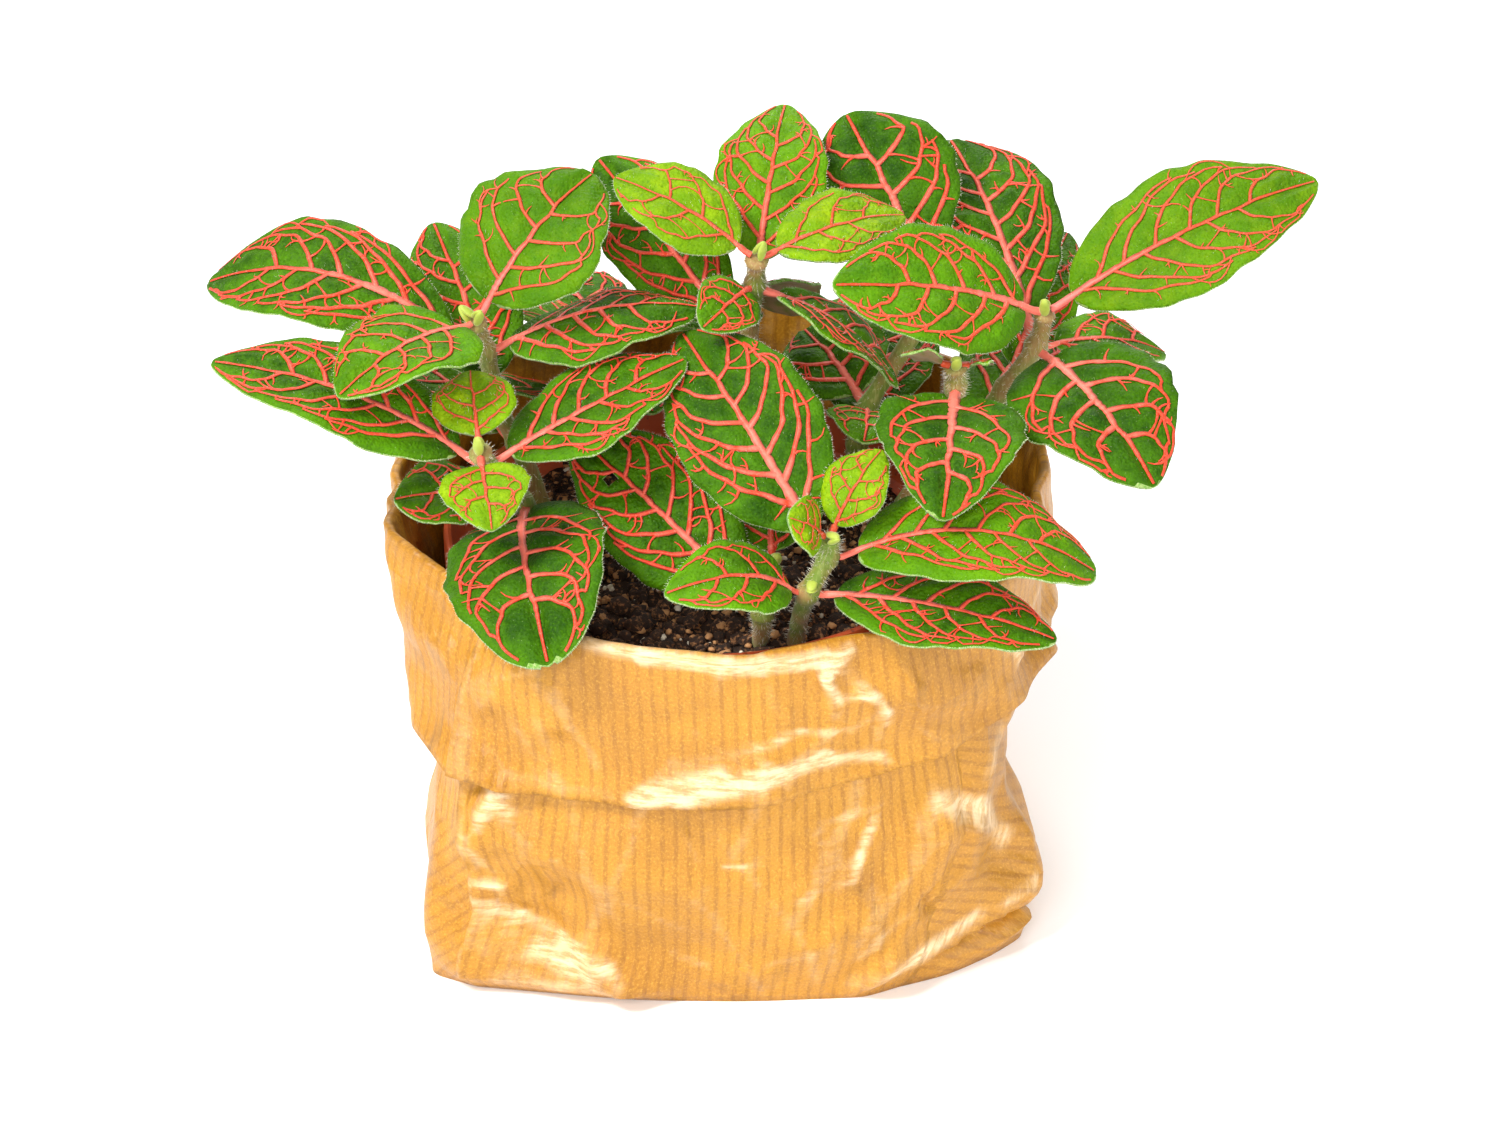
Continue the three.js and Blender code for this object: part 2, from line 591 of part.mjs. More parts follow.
function makeLeaf(name, leaf) {
  const { lift = 0.1, fold = 0.25, curl = 0.2, wave = 0.08, full = 0.85, blunt = 0.72 } = leaf;
  const { reach = COLLAR_R + SEAT_GAP } = leaf;
  const at = new THREE.Vector3(...leaf.at);
  const tip = new THREE.Vector3(...leaf.tip);
  const along = tip.clone().sub(at).normalize();
  const base = at.clone().addScaledVector(along, reach);
  const length = base.distanceTo(tip);
  const face = new THREE.Vector3(...leaf.face);
  face.addScaledVector(along, -along.dot(face)).normalize();
  const across = face.clone().cross(along);
  const rows = leaf.width < SMALL_LEAF_WIDTH ? SMALL_BLADE_ROWS : BLADE_ROWS;

  const section = (share, halfWidth, thick) => {
    const rise = lift * length * 4 * share * (1 - share);
    const upper = [];
    const lower = [];
    BLADE_COLUMNS.forEach((column) => {
      const side = Math.abs(column);
      const ripple = wave * side * side * Math.sin(share * RIPPLES + (column > 0 ? RIPPLE_SHIFT : 0));
      const height = rise + halfWidth * (fold * side - curl * side * side + ripple);
      upper.push(new THREE.Vector3(share * length, halfWidth * column, height + thick / 2));
      lower.push(new THREE.Vector3(share * length, halfWidth * column, height - thick / 2));
    });
    return [...upper, ...lower.reverse()];
  };

  const petioleEnd = PETIOLE_SHARE * 0.7;
  const rings = [section(0, PETIOLE_R, 2 * PETIOLE_R), section(petioleEnd, PETIOLE_R, 2 * PETIOLE_R)];
  for (let row = 0; row <= rows; row += 1) {
    const share = THREE.MathUtils.lerp(BLADE_START, BLADE_END, row / rows);
    const half = Math.max(bladeHalfWidth(share, leaf.width, full, blunt), PETIOLE_R);
    rings.push(section(PETIOLE_SHARE + (1 - PETIOLE_SHARE) * share, half, BLADE));
  }
  const mesh = addMesh(`leaf_${name}`, leafSkin(rings), leaf.finish);
  mesh.position.copy(base);
  mesh.quaternion.setFromRotationMatrix(new THREE.Matrix4().makeBasis(along, across, face));
}

// The skin of a leaf: rings of upper points then lower points, split alike on both faces
function leafSkin(rings) {
  const columns = BLADE_COLUMNS.length;
  const count = 2 * columns;
  const points = rings.flat();
  const index = [];
  const quad = (a, b, c, d, mirrored) => {
    if (mirrored) index.push(a, b, d, b, c, d);
    else index.push(a, b, c, a, c, d);
  };
  for (let ring = 0; ring + 1 < rings.length; ring += 1) {
    for (let side = 0; side < count; side += 1) {
      const next = (side + 1) % count;
      const low = ring * count;
      const high = low + count;
      quad(low + side, high + side, high + next, low + next, side >= columns);
    }
  }
  const cap = (start, outwards) => {
    for (let column = 0; column + 1 < columns; column += 1) {
      const upper = start + column;
      const lower = start + count - 1 - column;
      if (outwards) index.push(upper, lower, lower - 1, upper, lower - 1, upper + 1);
      else index.push(upper, lower - 1, lower, upper, upper + 1, lower - 1);
    }
  };
  cap(0, false);
  cap((rings.length - 1) * count, true);
  return fromTriangles(points, index);
}

makeBag();
makePot();
makeSoil();
Object.entries(STEMS).forEach(([name, stem]) => makeStem(name, stem));
Object.entries(LEAVES).forEach(([name, leaf]) => makeLeaf(name, leaf));

export default plant;
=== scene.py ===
"""Looks of the potted nerve plant: veined leaves, hairy stems, soil, pot and a ribbed kraft paper bag.

Lengths in the tables are millimetres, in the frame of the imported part: +Z up, the origin under the middle
of the bag, and the photographed front facing -Y. Meshes are brought to metres when they are finished.
"""

import logging
import math
import random
from dataclasses import dataclass
from enum import Enum

import bmesh
import bpy
import numpy as np
from mathutils import Matrix, Vector, noise
from mathutils.kdtree import KDTree

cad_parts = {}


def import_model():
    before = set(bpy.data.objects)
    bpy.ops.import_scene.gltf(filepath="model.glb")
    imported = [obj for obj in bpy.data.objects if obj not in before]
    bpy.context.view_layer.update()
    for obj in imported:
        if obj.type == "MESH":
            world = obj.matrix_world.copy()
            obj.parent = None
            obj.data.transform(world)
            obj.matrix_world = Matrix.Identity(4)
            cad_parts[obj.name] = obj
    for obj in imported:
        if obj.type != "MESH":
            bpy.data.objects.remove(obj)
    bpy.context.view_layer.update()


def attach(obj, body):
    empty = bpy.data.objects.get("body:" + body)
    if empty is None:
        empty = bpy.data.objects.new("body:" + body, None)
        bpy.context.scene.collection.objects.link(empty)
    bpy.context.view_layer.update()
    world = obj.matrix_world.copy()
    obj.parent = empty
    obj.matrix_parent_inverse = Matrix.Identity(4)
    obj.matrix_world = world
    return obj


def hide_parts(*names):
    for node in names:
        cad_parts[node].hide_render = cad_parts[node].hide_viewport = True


LOG = logging.getLogger("nerve_plant")
MM = 0.001
BODY = "root"

# Sizes and shapes shared with the solids
COLLAR_R = 2.3
SEAT_GAP = 0.3
PETIOLE_SHARE = 0.055
PETIOLE_R = 0.8
RIPPLES = 11
RIPPLE_SHIFT = 1.3
STEM_R = 1.9
POT_AXIS = (-3.5, 1.5)

# Points on a midrib and on a side vein, and how far along the blade the midrib goes
RIB_POINTS = 60
VEIN_POINTS = 18
RIB_END = 0.985
# The stretch of leaf to each pair of side veins, and the fewest and most pairs
VEIN_PITCH = 8.5
FEWEST_PAIRS, MOST_PAIRS = 3, 6
# The width of a usual leaf, and the least and most that relief and veins are scaled on others
USUAL_WIDTH = 26
LEAST_SCALE, MOST_SCALE = 0.42, 1.15
# How far the veins stay within the margin
VEIN_INSET = 0.45
# How often two neighbouring side veins share a joint, a loop, a tooth on the loop and a rung
JOINT_ODDS, LOOP_ODDS, TOOTH_ODDS, RUNG_ODDS = 0.85, 0.35, 0.6, 0.55
# How often a place on a side vein has a spur, how often it points to the margin and how often it forks
SPUR_ODDS, OUTER_ODDS, FORK_ODDS = 0.44, 0.62, 0.4
# Hairs to each millimetre of a leaf's margin and midrib, and to each sample of a stem
RIM_HAIRS, RIB_HAIRS, STEM_HAIRS = 2.6, 1.8, 9
LEAF_HAIR_R, STEM_HAIR_R = 0.032, 0.05
# Where a stem starts to show above the soil
SHOWN_Z = 66
# How many grains or hairs are made in one small form before it joins the big one
BATCH = 60

# The order of the materials on a leaf, a stem and the soil
UPPER, UNDER, MARGIN, VEIN, LEAF_DOWN = range(5)
SKIN, BUD, STEM_DOWN = range(3)
GROUND, GRAIN, BARK = range(3)

Pair = tuple[float, float]
Point = tuple[float, float, float]
Colour = tuple[float, float, float, float]
Table = tuple[tuple[float, ...], ...]
Vein = tuple[np.ndarray, np.ndarray]
Form = bmesh.types.BMesh
Material = bpy.types.Material
Socket = bpy.types.NodeSocket


def tint(red: float, green: float, blue: float) -> Colour:
    """Turns a display colour into the linear one that a shader reads.

    Args:
        red: Red, 0 to 255.
        green: Green, 0 to 255.
        blue: Blue, 0 to 255.

    Returns:
        The linear colour, opaque.
    """
    channels = []
    for value in (red, green, blue):
        share = value / 255
        channels.append(share / 12.92 if share <= 0.04045 else ((share + 0.055) / 1.055) ** 2.4)
    return (*channels, 1.0)


class Tone(Enum):
    """How old a leaf is, which sets its green."""

    DARK = "leaf_dark"
    MID = "leaf_mid"
    YOUNG = "leaf_young"


class Recipe:
    """Builds one node material, a node at a time."""

    def __init__(self, name: str) -> None:
        """Starts a material that holds only a surface shader.

        Args:
            name: The material's name.
        """
        self.material = bpy.data.materials.new(name)
        self.material.use_nodes = True
        self.tree = self.material.node_tree
        self.tree.nodes.clear()
        self.surface = self.node("BsdfPrincipled", {})
        self.node("OutputMaterial", {"Surface": self.surface.outputs[0]})

    def fixed(self, **settings: float | Colour) -> None:
        """Sets sockets of the surface that are alike all over, named with _ for a space."""
        for socket, value in settings.items():
            self.surface.inputs[socket.replace("_", " ").title().replace("Ior", "IOR")].default_value = value

    def feed(self, value: object, socket: Socket) -> None:
        """Links or sets one socket.

        Args:
            value: A socket to link from, or a plain value.
            socket: The socket that takes it.
        """
        if isinstance(value, Socket):
            self.tree.links.new(value, socket)
        else:
            socket.default_value = value

    def node(self, kind: str, inputs: dict[str | int, object], **settings: object) -> bpy.types.Node:
        """Adds one node.

        Args:
            kind: The end of its type's name.
            inputs: What each of its inputs is linked from or set to.
            **settings: Its properties.

        Returns:
            The node.
        """
        node = self.tree.nodes.new(f"ShaderNode{kind}")
        for setting, value in settings.items():
            setattr(node, setting, value)
        for socket, value in inputs.items():
            self.feed(value, node.inputs[socket])
        return node

    def place(self) -> Socket:
        """Gives the point on the object, in metres."""
        return self.node("TexCoord", {}).outputs["Object"]

    def paper(self) -> Socket:
        """Gives the piece's own UV map."""
        return self.node("TexCoord", {}).outputs["UV"]

    def kept(self, name: str) -> Socket:
        """Gives a number that the mesh keeps at each vertex."""
        return self.node("Attribute", {}, attribute_name=name).outputs["Fac"]

    def scaled(self, vector: Socket, x: float, y: float, z: float = 1.0) -> Socket:
        """Stretches a coordinate by a factor along each axis."""
        return self.node("Mapping", {"Vector": vector, "Scale": (x, y, z)}).outputs[0]

    def shift(self, vector: Socket, amount: Socket) -> Socket:
        """Moves a coordinate by one amount along every axis."""
        return self.node("VectorMath", {0: vector, 1: amount}).outputs[0]

    def cloud(self, vector: Socket, scale: float, detail: float = 3, rough: float = 0.55) -> Socket:
        """Makes soft noise from 0 to 1, from its repeats per unit and its finer octaves."""
        inputs = {"Vector": vector, "Scale": scale, "Detail": detail, "Roughness": rough}
        return self.node("TexNoise", inputs).outputs[0]

    def cells(self, vector: Socket, scale: float, feature: str = "DISTANCE_TO_EDGE") -> Socket:
        """Measures a distance in each cell of a pattern, from its cells per unit."""
        node = self.node("TexVoronoi", {"Vector": vector, "Scale": scale}, feature=feature)
        return node.outputs["Distance"]

    def number(self, kind: str, first: object, second: object = 0.0) -> Socket:
        """Works out one number from two, by an operation such as ADD."""
        return self.node("Math", {0: first, 1: second}, operation=kind).outputs[0]

    def times(self, first: object, second: object) -> Socket:
        """Multiplies two numbers."""
        return self.number("MULTIPLY", first, second)

    def between(self, value: object, low: float, high: float, out_low: float = 0.0,
                out_high: float = 1.0) -> Socket:
        """Maps a value smoothly from the range low to high onto the range out_low to out_high."""
        inputs = dict(enumerate((value, low, high, out_low, out_high)))
        return self.node("MapRange", inputs, interpolation_type="SMOOTHSTEP").outputs[0]

    def mix(self, share: object, first: object, second: object) -> Socket:
        """Blends two colours, of which share is the second's part."""
        inputs = {0: share, 6: first, 7: second}
        return self.node("Mix", inputs, data_type="RGBA", clamp_factor=True).outputs[2]

    def relief(self, height: Socket, depth: float, strength: float, under: Socket | None = None) -> Socket:
        """Raises a pattern by a depth in metres, on top of the relief under it."""
        inputs = {"Height": height, "Distance": depth, "Strength": strength}
        return self.node("Bump", inputs if under is None else inputs | {"Normal": under}).outputs[0]

    def done(self, colour: object, rough: object, normal: Socket | None = None) -> Material:
        """Finishes the material.

        Args:
            colour: The base colour.
            rough: The roughness.
            normal: The normal with its relief.

        Returns:
            The material.
        """
        looks = {"Base Color": colour, "Roughness": rough, "Normal": normal, "Coat Normal": normal}
        for socket, value in looks.items():
            if value is not None:
                self.feed(value, self.surface.inputs[socket])
        return self.material


@dataclass(frozen=True)
class LeafFinish:
    """The velvety upper side of a leaf, its margin and its underside."""

    name: str
    deep: Colour
    bright: Colour
    patch: Colour
    patches: float

    def upper(self) -> Material:
        """Makes the green upper side, brighter near veins and margin on young leaves; the lighter margin is
        painted light shining through the thin edge.

        Returns:
            The material.
        """
        recipe = Recipe(f"{self.name}_upper")
        place = recipe.place()
        youth = recipe.kept("youth")
        broad = recipe.between(recipe.cloud(place, 90), 0.35, 0.68)
        # Painted light: the blade turns lighter towards its thin margin, as if lit through
        rim = recipe.between(recipe.kept("edge"), 0.55, 1.0)
        light = recipe.number("ADD", recipe.times(broad, 0.7), recipe.times(rim, 0.45))
        light = recipe.times(light, recipe.between(youth, 0, 1, 0.3, 1))
        green = recipe.mix(light, self.deep, self.bright)
        near = recipe.between(recipe.kept("vein_mm"), 0.5, 2.4, 0.55, 0)
        near = recipe.times(near, recipe.between(recipe.cloud(place, 420), 0.3, 0.65))
        near = recipe.times(near, recipe.between(youth, 0, 1, 0.5, 1))
        green = recipe.mix(near, green, self.bright)
        speckle = recipe.cloud(place, 220, 4, 0.65)
        blotch = recipe.between(speckle, 0.4, 0.75, 0.4 * self.patches, self.patches)
        green = recipe.mix(recipe.times(blotch, youth), green, self.patch)
        grain = recipe.cloud(place, 2200)
        green = recipe.mix(recipe.between(grain, 0.5, 0.8, 0, 0.4), green, self.bright)
        green = recipe.mix(recipe.between(grain, 0.5, 0.25, 0, 0.45), green, self.deep)
        dot = recipe.between(recipe.cells(place, 1150, "F1"), 0.0, 0.13, 0.35, 0)
        green = recipe.mix(dot, green, tint(196, 214, 150))
        pebble = recipe.cells(place, 1500, "SMOOTH_F1")
        normal = recipe.relief(pebble, 0.0004, 0.8, recipe.relief(grain, 0.00025, 0.8))
        recipe.fixed(sheen_weight=0.03, sheen_roughness=0.4, sheen_tint=tint(225, 240, 160))
        recipe.fixed(specular_ior_level=0.09)
        return recipe.done(green, recipe.between(grain, 0.2, 0.8, 0.4, 0.6), normal)

    def under(self) -> Material:
        """Makes the olive underside, with its net of pale raised veins.

        Returns:
            The material.
        """
        recipe = Recipe(f"{self.name}_under")
        place = recipe.place()
        green = recipe.mix(recipe.cloud(place, 120), tint(84, 92, 30), tint(122, 128, 42))
        net = recipe.between(recipe.kept("vein_mm"), 0.25, 0.9, 0.75, 0)
        green = recipe.mix(net, green, tint(150, 112, 84))
        recipe.fixed(sheen_weight=0.25, sheen_roughness=0.5, sheen_tint=tint(225, 225, 200))
        return recipe.done(green, 0.7, recipe.relief(recipe.cloud(place, 2200, 2), 0.00012, 0.7))

    def margin(self) -> Material:
        """Makes the pale downy edge between the two sides.

        Returns:
            The material.
        """
        recipe = Recipe(f"{self.name}_margin")
        grain = recipe.cloud(recipe.place(), 1800, 2)
        green = recipe.mix(recipe.between(grain, 0.3, 0.7), self.bright, tint(158, 178, 108))
        recipe.fixed(sheen_weight=0.2, sheen_roughness=0.4)
        return recipe.done(green, 0.7)


@dataclass(frozen=True)
class VeinFinish:
    """Coral veins: the midrib is pinker and paler than the fine ones."""

    name: str
    broad: Colour
    fine: Colour

    def make(self) -> Material:
        """Makes the vein colour, which follows each vein's own thickness.

        Returns:
            The material.
        """
        recipe = Recipe(self.name)
        place = recipe.place()
        thick = recipe.between(recipe.kept("vein_mm"), 0.3, 0.9)
        red = recipe.mix(thick, self.fine, self.broad)
        grain = recipe.cloud(place, 2400, 2)
        red = recipe.mix(recipe.between(grain, 0.45, 0.8, 0, 0.4), red, tint(244, 142, 118))
        red = recipe.mix(recipe.between(recipe.cloud(place, 700, 2), 0.5, 0.75, 0, 0.35), red, self.fine)
        recipe.fixed(sheen_weight=0.05, sheen_roughness=0.4, specular_ior_level=0.3)
        return recipe.done(red, 0.45, recipe.relief(grain, 0.0001, 0.6))


@dataclass(frozen=True)
class StemFinish:
    """Olive stems flushed with pink under white down."""

    name: str = "stem_skin"

    def skin(self) -> Material:
        """Makes the stem's skin.

        Returns:
            The material.
        """
        recipe = Recipe(self.name)
        place = recipe.place()
        flush = recipe.between(recipe.cloud(place, 130), 0.35, 0.65)
        skin = recipe.mix(flush, tint(100, 124, 30), tint(146, 112, 62))
        long = recipe.cloud(recipe.scaled(place, 1.0, 1.0, 0.12), 2300)
        skin = recipe.mix(recipe.between(long, 0.45, 0.75, 0, 0.35), skin, tint(196, 196, 124))
        recipe.fixed(sheen_weight=0.2, sheen_roughness=0.45)
        return recipe.done(skin, 0.65, recipe.relief(long, 0.00015, 0.7))

    def bud(self) -> Material:
        """Makes the pale folded leaves of a bud.

        Returns:
            The material.
        """
        recipe = Recipe("bud_skin")
        place = recipe.place()
        skin = recipe.mix(recipe.cloud(place, 420), tint(118, 146, 34), tint(196, 206, 84))
        recipe.fixed(sheen_weight=0.3, sheen_roughness=0.4)
        return recipe.done(skin, 0.55, recipe.relief(recipe.cloud(place, 1800, 2), 0.0001, 0.6))

    def down(self) -> Material:
        """Makes the white hairs of stems, veins and margins.

        Returns:
            The material.
        """
        recipe = Recipe("white_down")
        tone = recipe.cloud(recipe.place(), 300, 2)
        recipe.fixed(specular_ior_level=0.5)
        return recipe.done(recipe.mix(tone, tint(222, 214, 184), tint(252, 248, 236)), 0.5)


@dataclass(frozen=True)
class KraftFinish:
    """Ribbed kraft paper, glazed on its outer side. Its UV map is in tens of millimetres."""

    name: str = "kraft_paper"
    rib_pitch: float = 2.45

    def ribs(self, recipe: Recipe, sheet: Socket) -> Socket:
        """Draws the fine ribs, which wander a little.

        Args:
            recipe: The recipe that they belong to.
            sheet: The place on the sheet.

        Returns:
            Their pattern, 0 to 1.
        """
        across = recipe.node("SeparateXYZ", {0: sheet}).outputs[0]
        wander = recipe.cloud(recipe.scaled(sheet, 1.4, 0.35), 1.0, 2)
        across = recipe.number("ADD", across, recipe.times(wander, 0.03))
        turns = recipe.times(across, 2 * math.pi * 10 / self.rib_pitch)
        return recipe.between(recipe.number("SINE", turns), 0.0, 1.0)

    def make(self) -> Material:
        """Makes the ribbed paper with its fibres, blotches, painted highlights and fine wrinkles.

        Returns:
            The material.
        """
        recipe = Recipe(self.name)
        place = recipe.place()
        sheet = recipe.paper()
        rib = self.ribs(recipe, sheet)
        streak = recipe.cloud(recipe.scaled(sheet, 5.0, 1.6), 1.0, 4, 0.75)
        fibre = recipe.cloud(recipe.scaled(sheet, 19.0, 16.0), 1.0, 4, 0.75)
        blotch = recipe.between(recipe.cloud(place, 42, 5, 0.62), 0.35, 0.65)
        paper = recipe.mix(blotch, tint(172, 115, 16), tint(190, 131, 24))
        faded = recipe.times(rib, recipe.between(streak, 0.35, 0.6, 0.16, 0.52))
        paper = recipe.mix(faded, paper, tint(140, 86, 6))
        paper = recipe.mix(recipe.between(fibre, 0.5, 0.72, 0, 0.5), paper, tint(126, 76, 8))
        paper = recipe.mix(recipe.between(fibre, 0.5, 0.28, 0, 0.5), paper, tint(228, 176, 66))
        # Painted highlight: the paper turns pale and glossier in streaks where the sheet keeps a highlight
        # share
        drawn = recipe.cloud(recipe.scaled(sheet, 1.6, 7.0), 1.0, 4, 0.7)
        painted_highlight = recipe.between(recipe.kept("painted_highlight"), 0.05, 1.15, 0.0, 0.78)
        highlight_share = recipe.times(painted_highlight, recipe.between(drawn, 0.36, 0.6, 0.3, 1.0))
        paper = recipe.mix(highlight_share, paper, tint(252, 226, 182))
        bent = recipe.between(recipe.cloud(place, 60, 2), 0.0, 1.0, 0.0, 0.006)
        wrinkle = recipe.cells(recipe.scaled(recipe.shift(place, bent), 1.0, 1.0, 0.7), 70)
        some = recipe.between(recipe.cloud(place, 34, 2), 0.5, 0.62)
        facet = recipe.times(recipe.between(wrinkle, 0.0, 0.3), some)
        normal = recipe.relief(rib, 0.00006, 0.8)
        normal = recipe.relief(fibre, 0.0001, 0.8, normal)
        normal = recipe.relief(facet, 0.0013, 0.9, normal)
        normal = recipe.relief(recipe.cloud(place, 150, 4, 0.6), 0.0011, 0.5, normal)
        recipe.fixed(specular_ior_level=0.3, coat_weight=0.5, coat_roughness=0.4)
        return recipe.done(paper, recipe.between(highlight_share, 0.0, 1.0, 0.52, 0.36), normal)


@dataclass(frozen=True)
class PlasticFinish:
    """Matt terracotta coloured plastic with moulding haze and specks of soil."""

    name: str = "pot_plastic"

    def make(self) -> Material:
        """Makes the plastic.

        Returns:
            The material.
        """
        recipe = Recipe(self.name)
        place = recipe.place()
        haze = recipe.cloud(place, 60, 4)
        skin = recipe.mix(haze, tint(190, 78, 38), tint(222, 98, 52))
        dust = recipe.between(recipe.cloud(place, 700), 0.62, 0.75, 0, 0.6)
        skin = recipe.mix(dust, skin, tint(70, 46, 32))
        normal = recipe.relief(recipe.cloud(place, 1500, 2), 0.00005, 0.5)
        return recipe.done(skin, recipe.between(haze, 0.3, 0.7, 0.36, 0.5), normal)


@dataclass(frozen=True)
class SoilFinish:
    """Dark peaty soil, its pale mineral grains and its fibres."""

    name: str = "potting_soil"

    def ground(self) -> Material:
        """Makes the dark soil.

        Returns:
            The material.
        """
        recipe = Recipe(self.name)
        place = recipe.place()
        crumb = recipe.cloud(place, 900, 5, 0.7)
        soil = recipe.mix(recipe.cloud(place, 160), tint(12, 7, 4), tint(70, 44, 26))
        soil = recipe.mix(recipe.between(crumb, 0.5, 0.66, 0, 0.9), soil, tint(178, 124, 78))
        return recipe.done(soil, 0.92, recipe.relief(crumb, 0.0008, 0.9))

    def grain(self) -> Material:
        """Makes the cream grains.

        Returns:
            The material.
        """
        recipe = Recipe("perlite")
        pore = recipe.cloud(recipe.place(), 1500)
        pale = recipe.mix(pore, tint(206, 190, 158), tint(248, 240, 222))
        return recipe.done(pale, 0.85, recipe.relief(pore, 0.0002, 0.8))

    def bark(self) -> Material:
        """Makes the brown fibres and flakes.

        Returns:
            The material.
        """
        recipe = Recipe("peat_fibre")
        grain = recipe.cloud(recipe.scaled(recipe.place(), 1.0, 1.0, 0.3), 900)
        brown = recipe.mix(grain, tint(120, 74, 40), tint(236, 178, 118))
        return recipe.done(brown, 0.85, recipe.relief(grain, 0.0002, 0.8))


LEAF_FINISHES = {
    Tone.DARK: LeafFinish("leaf_dark", tint(18, 58, 0), tint(86, 142, 2), tint(104, 152, 4), 0.35),
    Tone.MID: LeafFinish("leaf_mid", tint(32, 88, 0), tint(92, 152, 2), tint(146, 182, 8), 0.6),
    Tone.YOUNG: LeafFinish("leaf_young", tint(32, 90, 0), tint(80, 138, 2), tint(164, 188, 16), 0.75),
}
VEIN_FINISHES = {
    Tone.DARK: VeinFinish("veins_dark", tint(240, 120, 102), tint(220, 62, 32)),
    Tone.MID: VeinFinish("veins_mid", tint(238, 116, 100), tint(222, 70, 34)),
    Tone.YOUNG: VeinFinish("veins_young", tint(236, 120, 112), tint(208, 74, 38)),
}
# How broad the veins are in a leaf of each tone, against the oldest leaves
VEIN_BOLDNESS = {Tone.DARK: 1.0, Tone.MID: 0.84, Tone.YOUNG: 0.68}


def linked(name: str, form: Form, materials: list[Material], smooth: bool = True) -> bpy.types.Object:
    """Turns a form in millimetres into an object in metres.

    Args:
        name: The object's name.
        form: The form, which is freed.
        materials: The materials that its faces name by index.
        smooth: Whether faces shade smoothly into each other.

    Returns:
        The object.
    """
    bmesh.ops.scale(form, vec=(MM, MM, MM), verts=form.verts)
    for face in form.faces:
        face.smooth = smooth
    mesh = bpy.data.meshes.new(name)
    form.to_mesh(mesh)
    form.free()
    for material in materials:
        mesh.materials.append(material)
    made = bpy.data.objects.new(name, mesh)
    bpy.context.scene.collection.objects.link(made)
    return made


def hand_over(piece: bpy.types.Object, node: str) -> None:
    """Lets a piece ride on the part and stand for its solid, and logs it.

    Args:
        piece: The piece.
        node: The solid that it replaces.
    """
    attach(piece, BODY)
    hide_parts(node)
    LOG.info("%s: %d faces", piece.name, len(piece.data.polygons))


def absorb(form: Form, mesh: bpy.types.Mesh) -> None:
    """Adds a mesh to a form, and frees it."""
    form.from_mesh(mesh)
    bpy.data.meshes.remove(mesh)


def merge(form: Form, part: Form) -> None:
    """Adds a small form to a big one, and frees it.

    Args:
        form: The form that gets it.
        part: The form that is added.
    """
    mesh = bpy.data.meshes.new("part")
    part.to_mesh(mesh)
    part.free()
    absorb(form, mesh)


def add_tubes(form: Form, lines: list[Vein], resolution: int) -> None:
    """Adds closed tapering tubes along lines of points.

    Args:
        form: The form that gets them.
        lines: For each tube its points, n by 3, and its radius at each point.
        resolution: How many extra sides each quarter of a tube has.
    """
    curve = bpy.data.curves.new("tubes", "CURVE")
    curve.dimensions = "3D"
    curve.twist_mode = "Z_UP"
    curve.bevel_depth = 1.0
    curve.bevel_resolution = resolution
    curve.use_fill_caps = True
    for points, radii in lines:
        spline = curve.splines.new("POLY")
        spline.points.add(len(points) - 1)
        spline.points.foreach_set("co", np.c_[points, np.ones(len(points))].ravel())
        spline.points.foreach_set("radius", radii)
    holder = bpy.data.objects.new("tubes", curve)
    bpy.context.scene.collection.objects.link(holder)
    graph = bpy.context.evaluated_depsgraph_get()
    absorb(form, bpy.data.meshes.new_from_object(holder.evaluated_get(graph)))
    bpy.data.objects.remove(holder)
    bpy.data.curves.remove(curve)


def revolve(profile: list[Pair], steps: int) -> Form:
    """Turns a profile round the pot's axis into a closed body.

    Args:
        profile: The radius and height of each corner, from the axis to the axis.
        steps: How many facets the body has round.

    Returns:
        The body.
    """
    form = bmesh.new()
    points = [form.verts.new((POT_AXIS[0] + radius, POT_AXIS[1], z)) for radius, z in profile]
    edges = [form.edges.new(pair) for pair in zip(points, points[1:])]
    bmesh.ops.spin(form, geom=points + edges, axis=(0, 0, 1), cent=(*POT_AXIS, 0), angle=2 * math.pi,
                   steps=steps, use_merge=True)
    bmesh.ops.remove_doubles(form, verts=form.verts[:], dist=0.001)
    bmesh.ops.recalc_face_normals(form, faces=form.faces[:])
    return form


def coordinates(form: Form) -> np.ndarray:
    """Reads where the vertices are, as rows of x, y and z."""
    return np.array([vertex.co for vertex in form.verts], float).reshape(-1, 3)


def unit(vector: np.ndarray) -> np.ndarray:
    """Scales a vector to a length of 1."""
    return vector / max(np.linalg.norm(vector), 1e-9)


def upright_to(growth: Vector) -> Matrix:
    """Gives the turn that brings +Z along a growth."""
    return growth.to_track_quat("Z", "Y").to_matrix().to_4x4()


def dress(made: dict[str, list], material: int) -> None:
    """Gives the faces of a new shape their material's index."""
    for face in {face for vertex in made["verts"] for face in vertex.link_faces}:
        face.material_index = material


def add_hairs(form: Form, roots: np.ndarray, tips: np.ndarray, radius: float, material: int) -> None:
    """Adds a slim three-sided cone from each root to its tip.

    Args:
        form: The form that gets the hairs.
        roots: Where the hairs start, n by 3.
        tips: Where they end, n by 3.
        radius: Their radius at the root.
        material: Their material's index.
    """
    for start in range(0, len(roots), BATCH):
        part = bmesh.new()
        for root, tip in zip(roots[start:start + BATCH], tips[start:start + BATCH]):
            growth = Vector(tip - root)
            if growth.length < 1e-6:
                continue
            middle = Matrix.Translation(Vector(root) + growth / 2)
            bmesh.ops.create_cone(part, cap_ends=True, segments=3, radius1=radius, radius2=radius * 0.15,
                                  depth=growth.length, matrix=middle @ upright_to(growth))
        for face in part.faces:
            face.material_index = material
        merge(form, part)


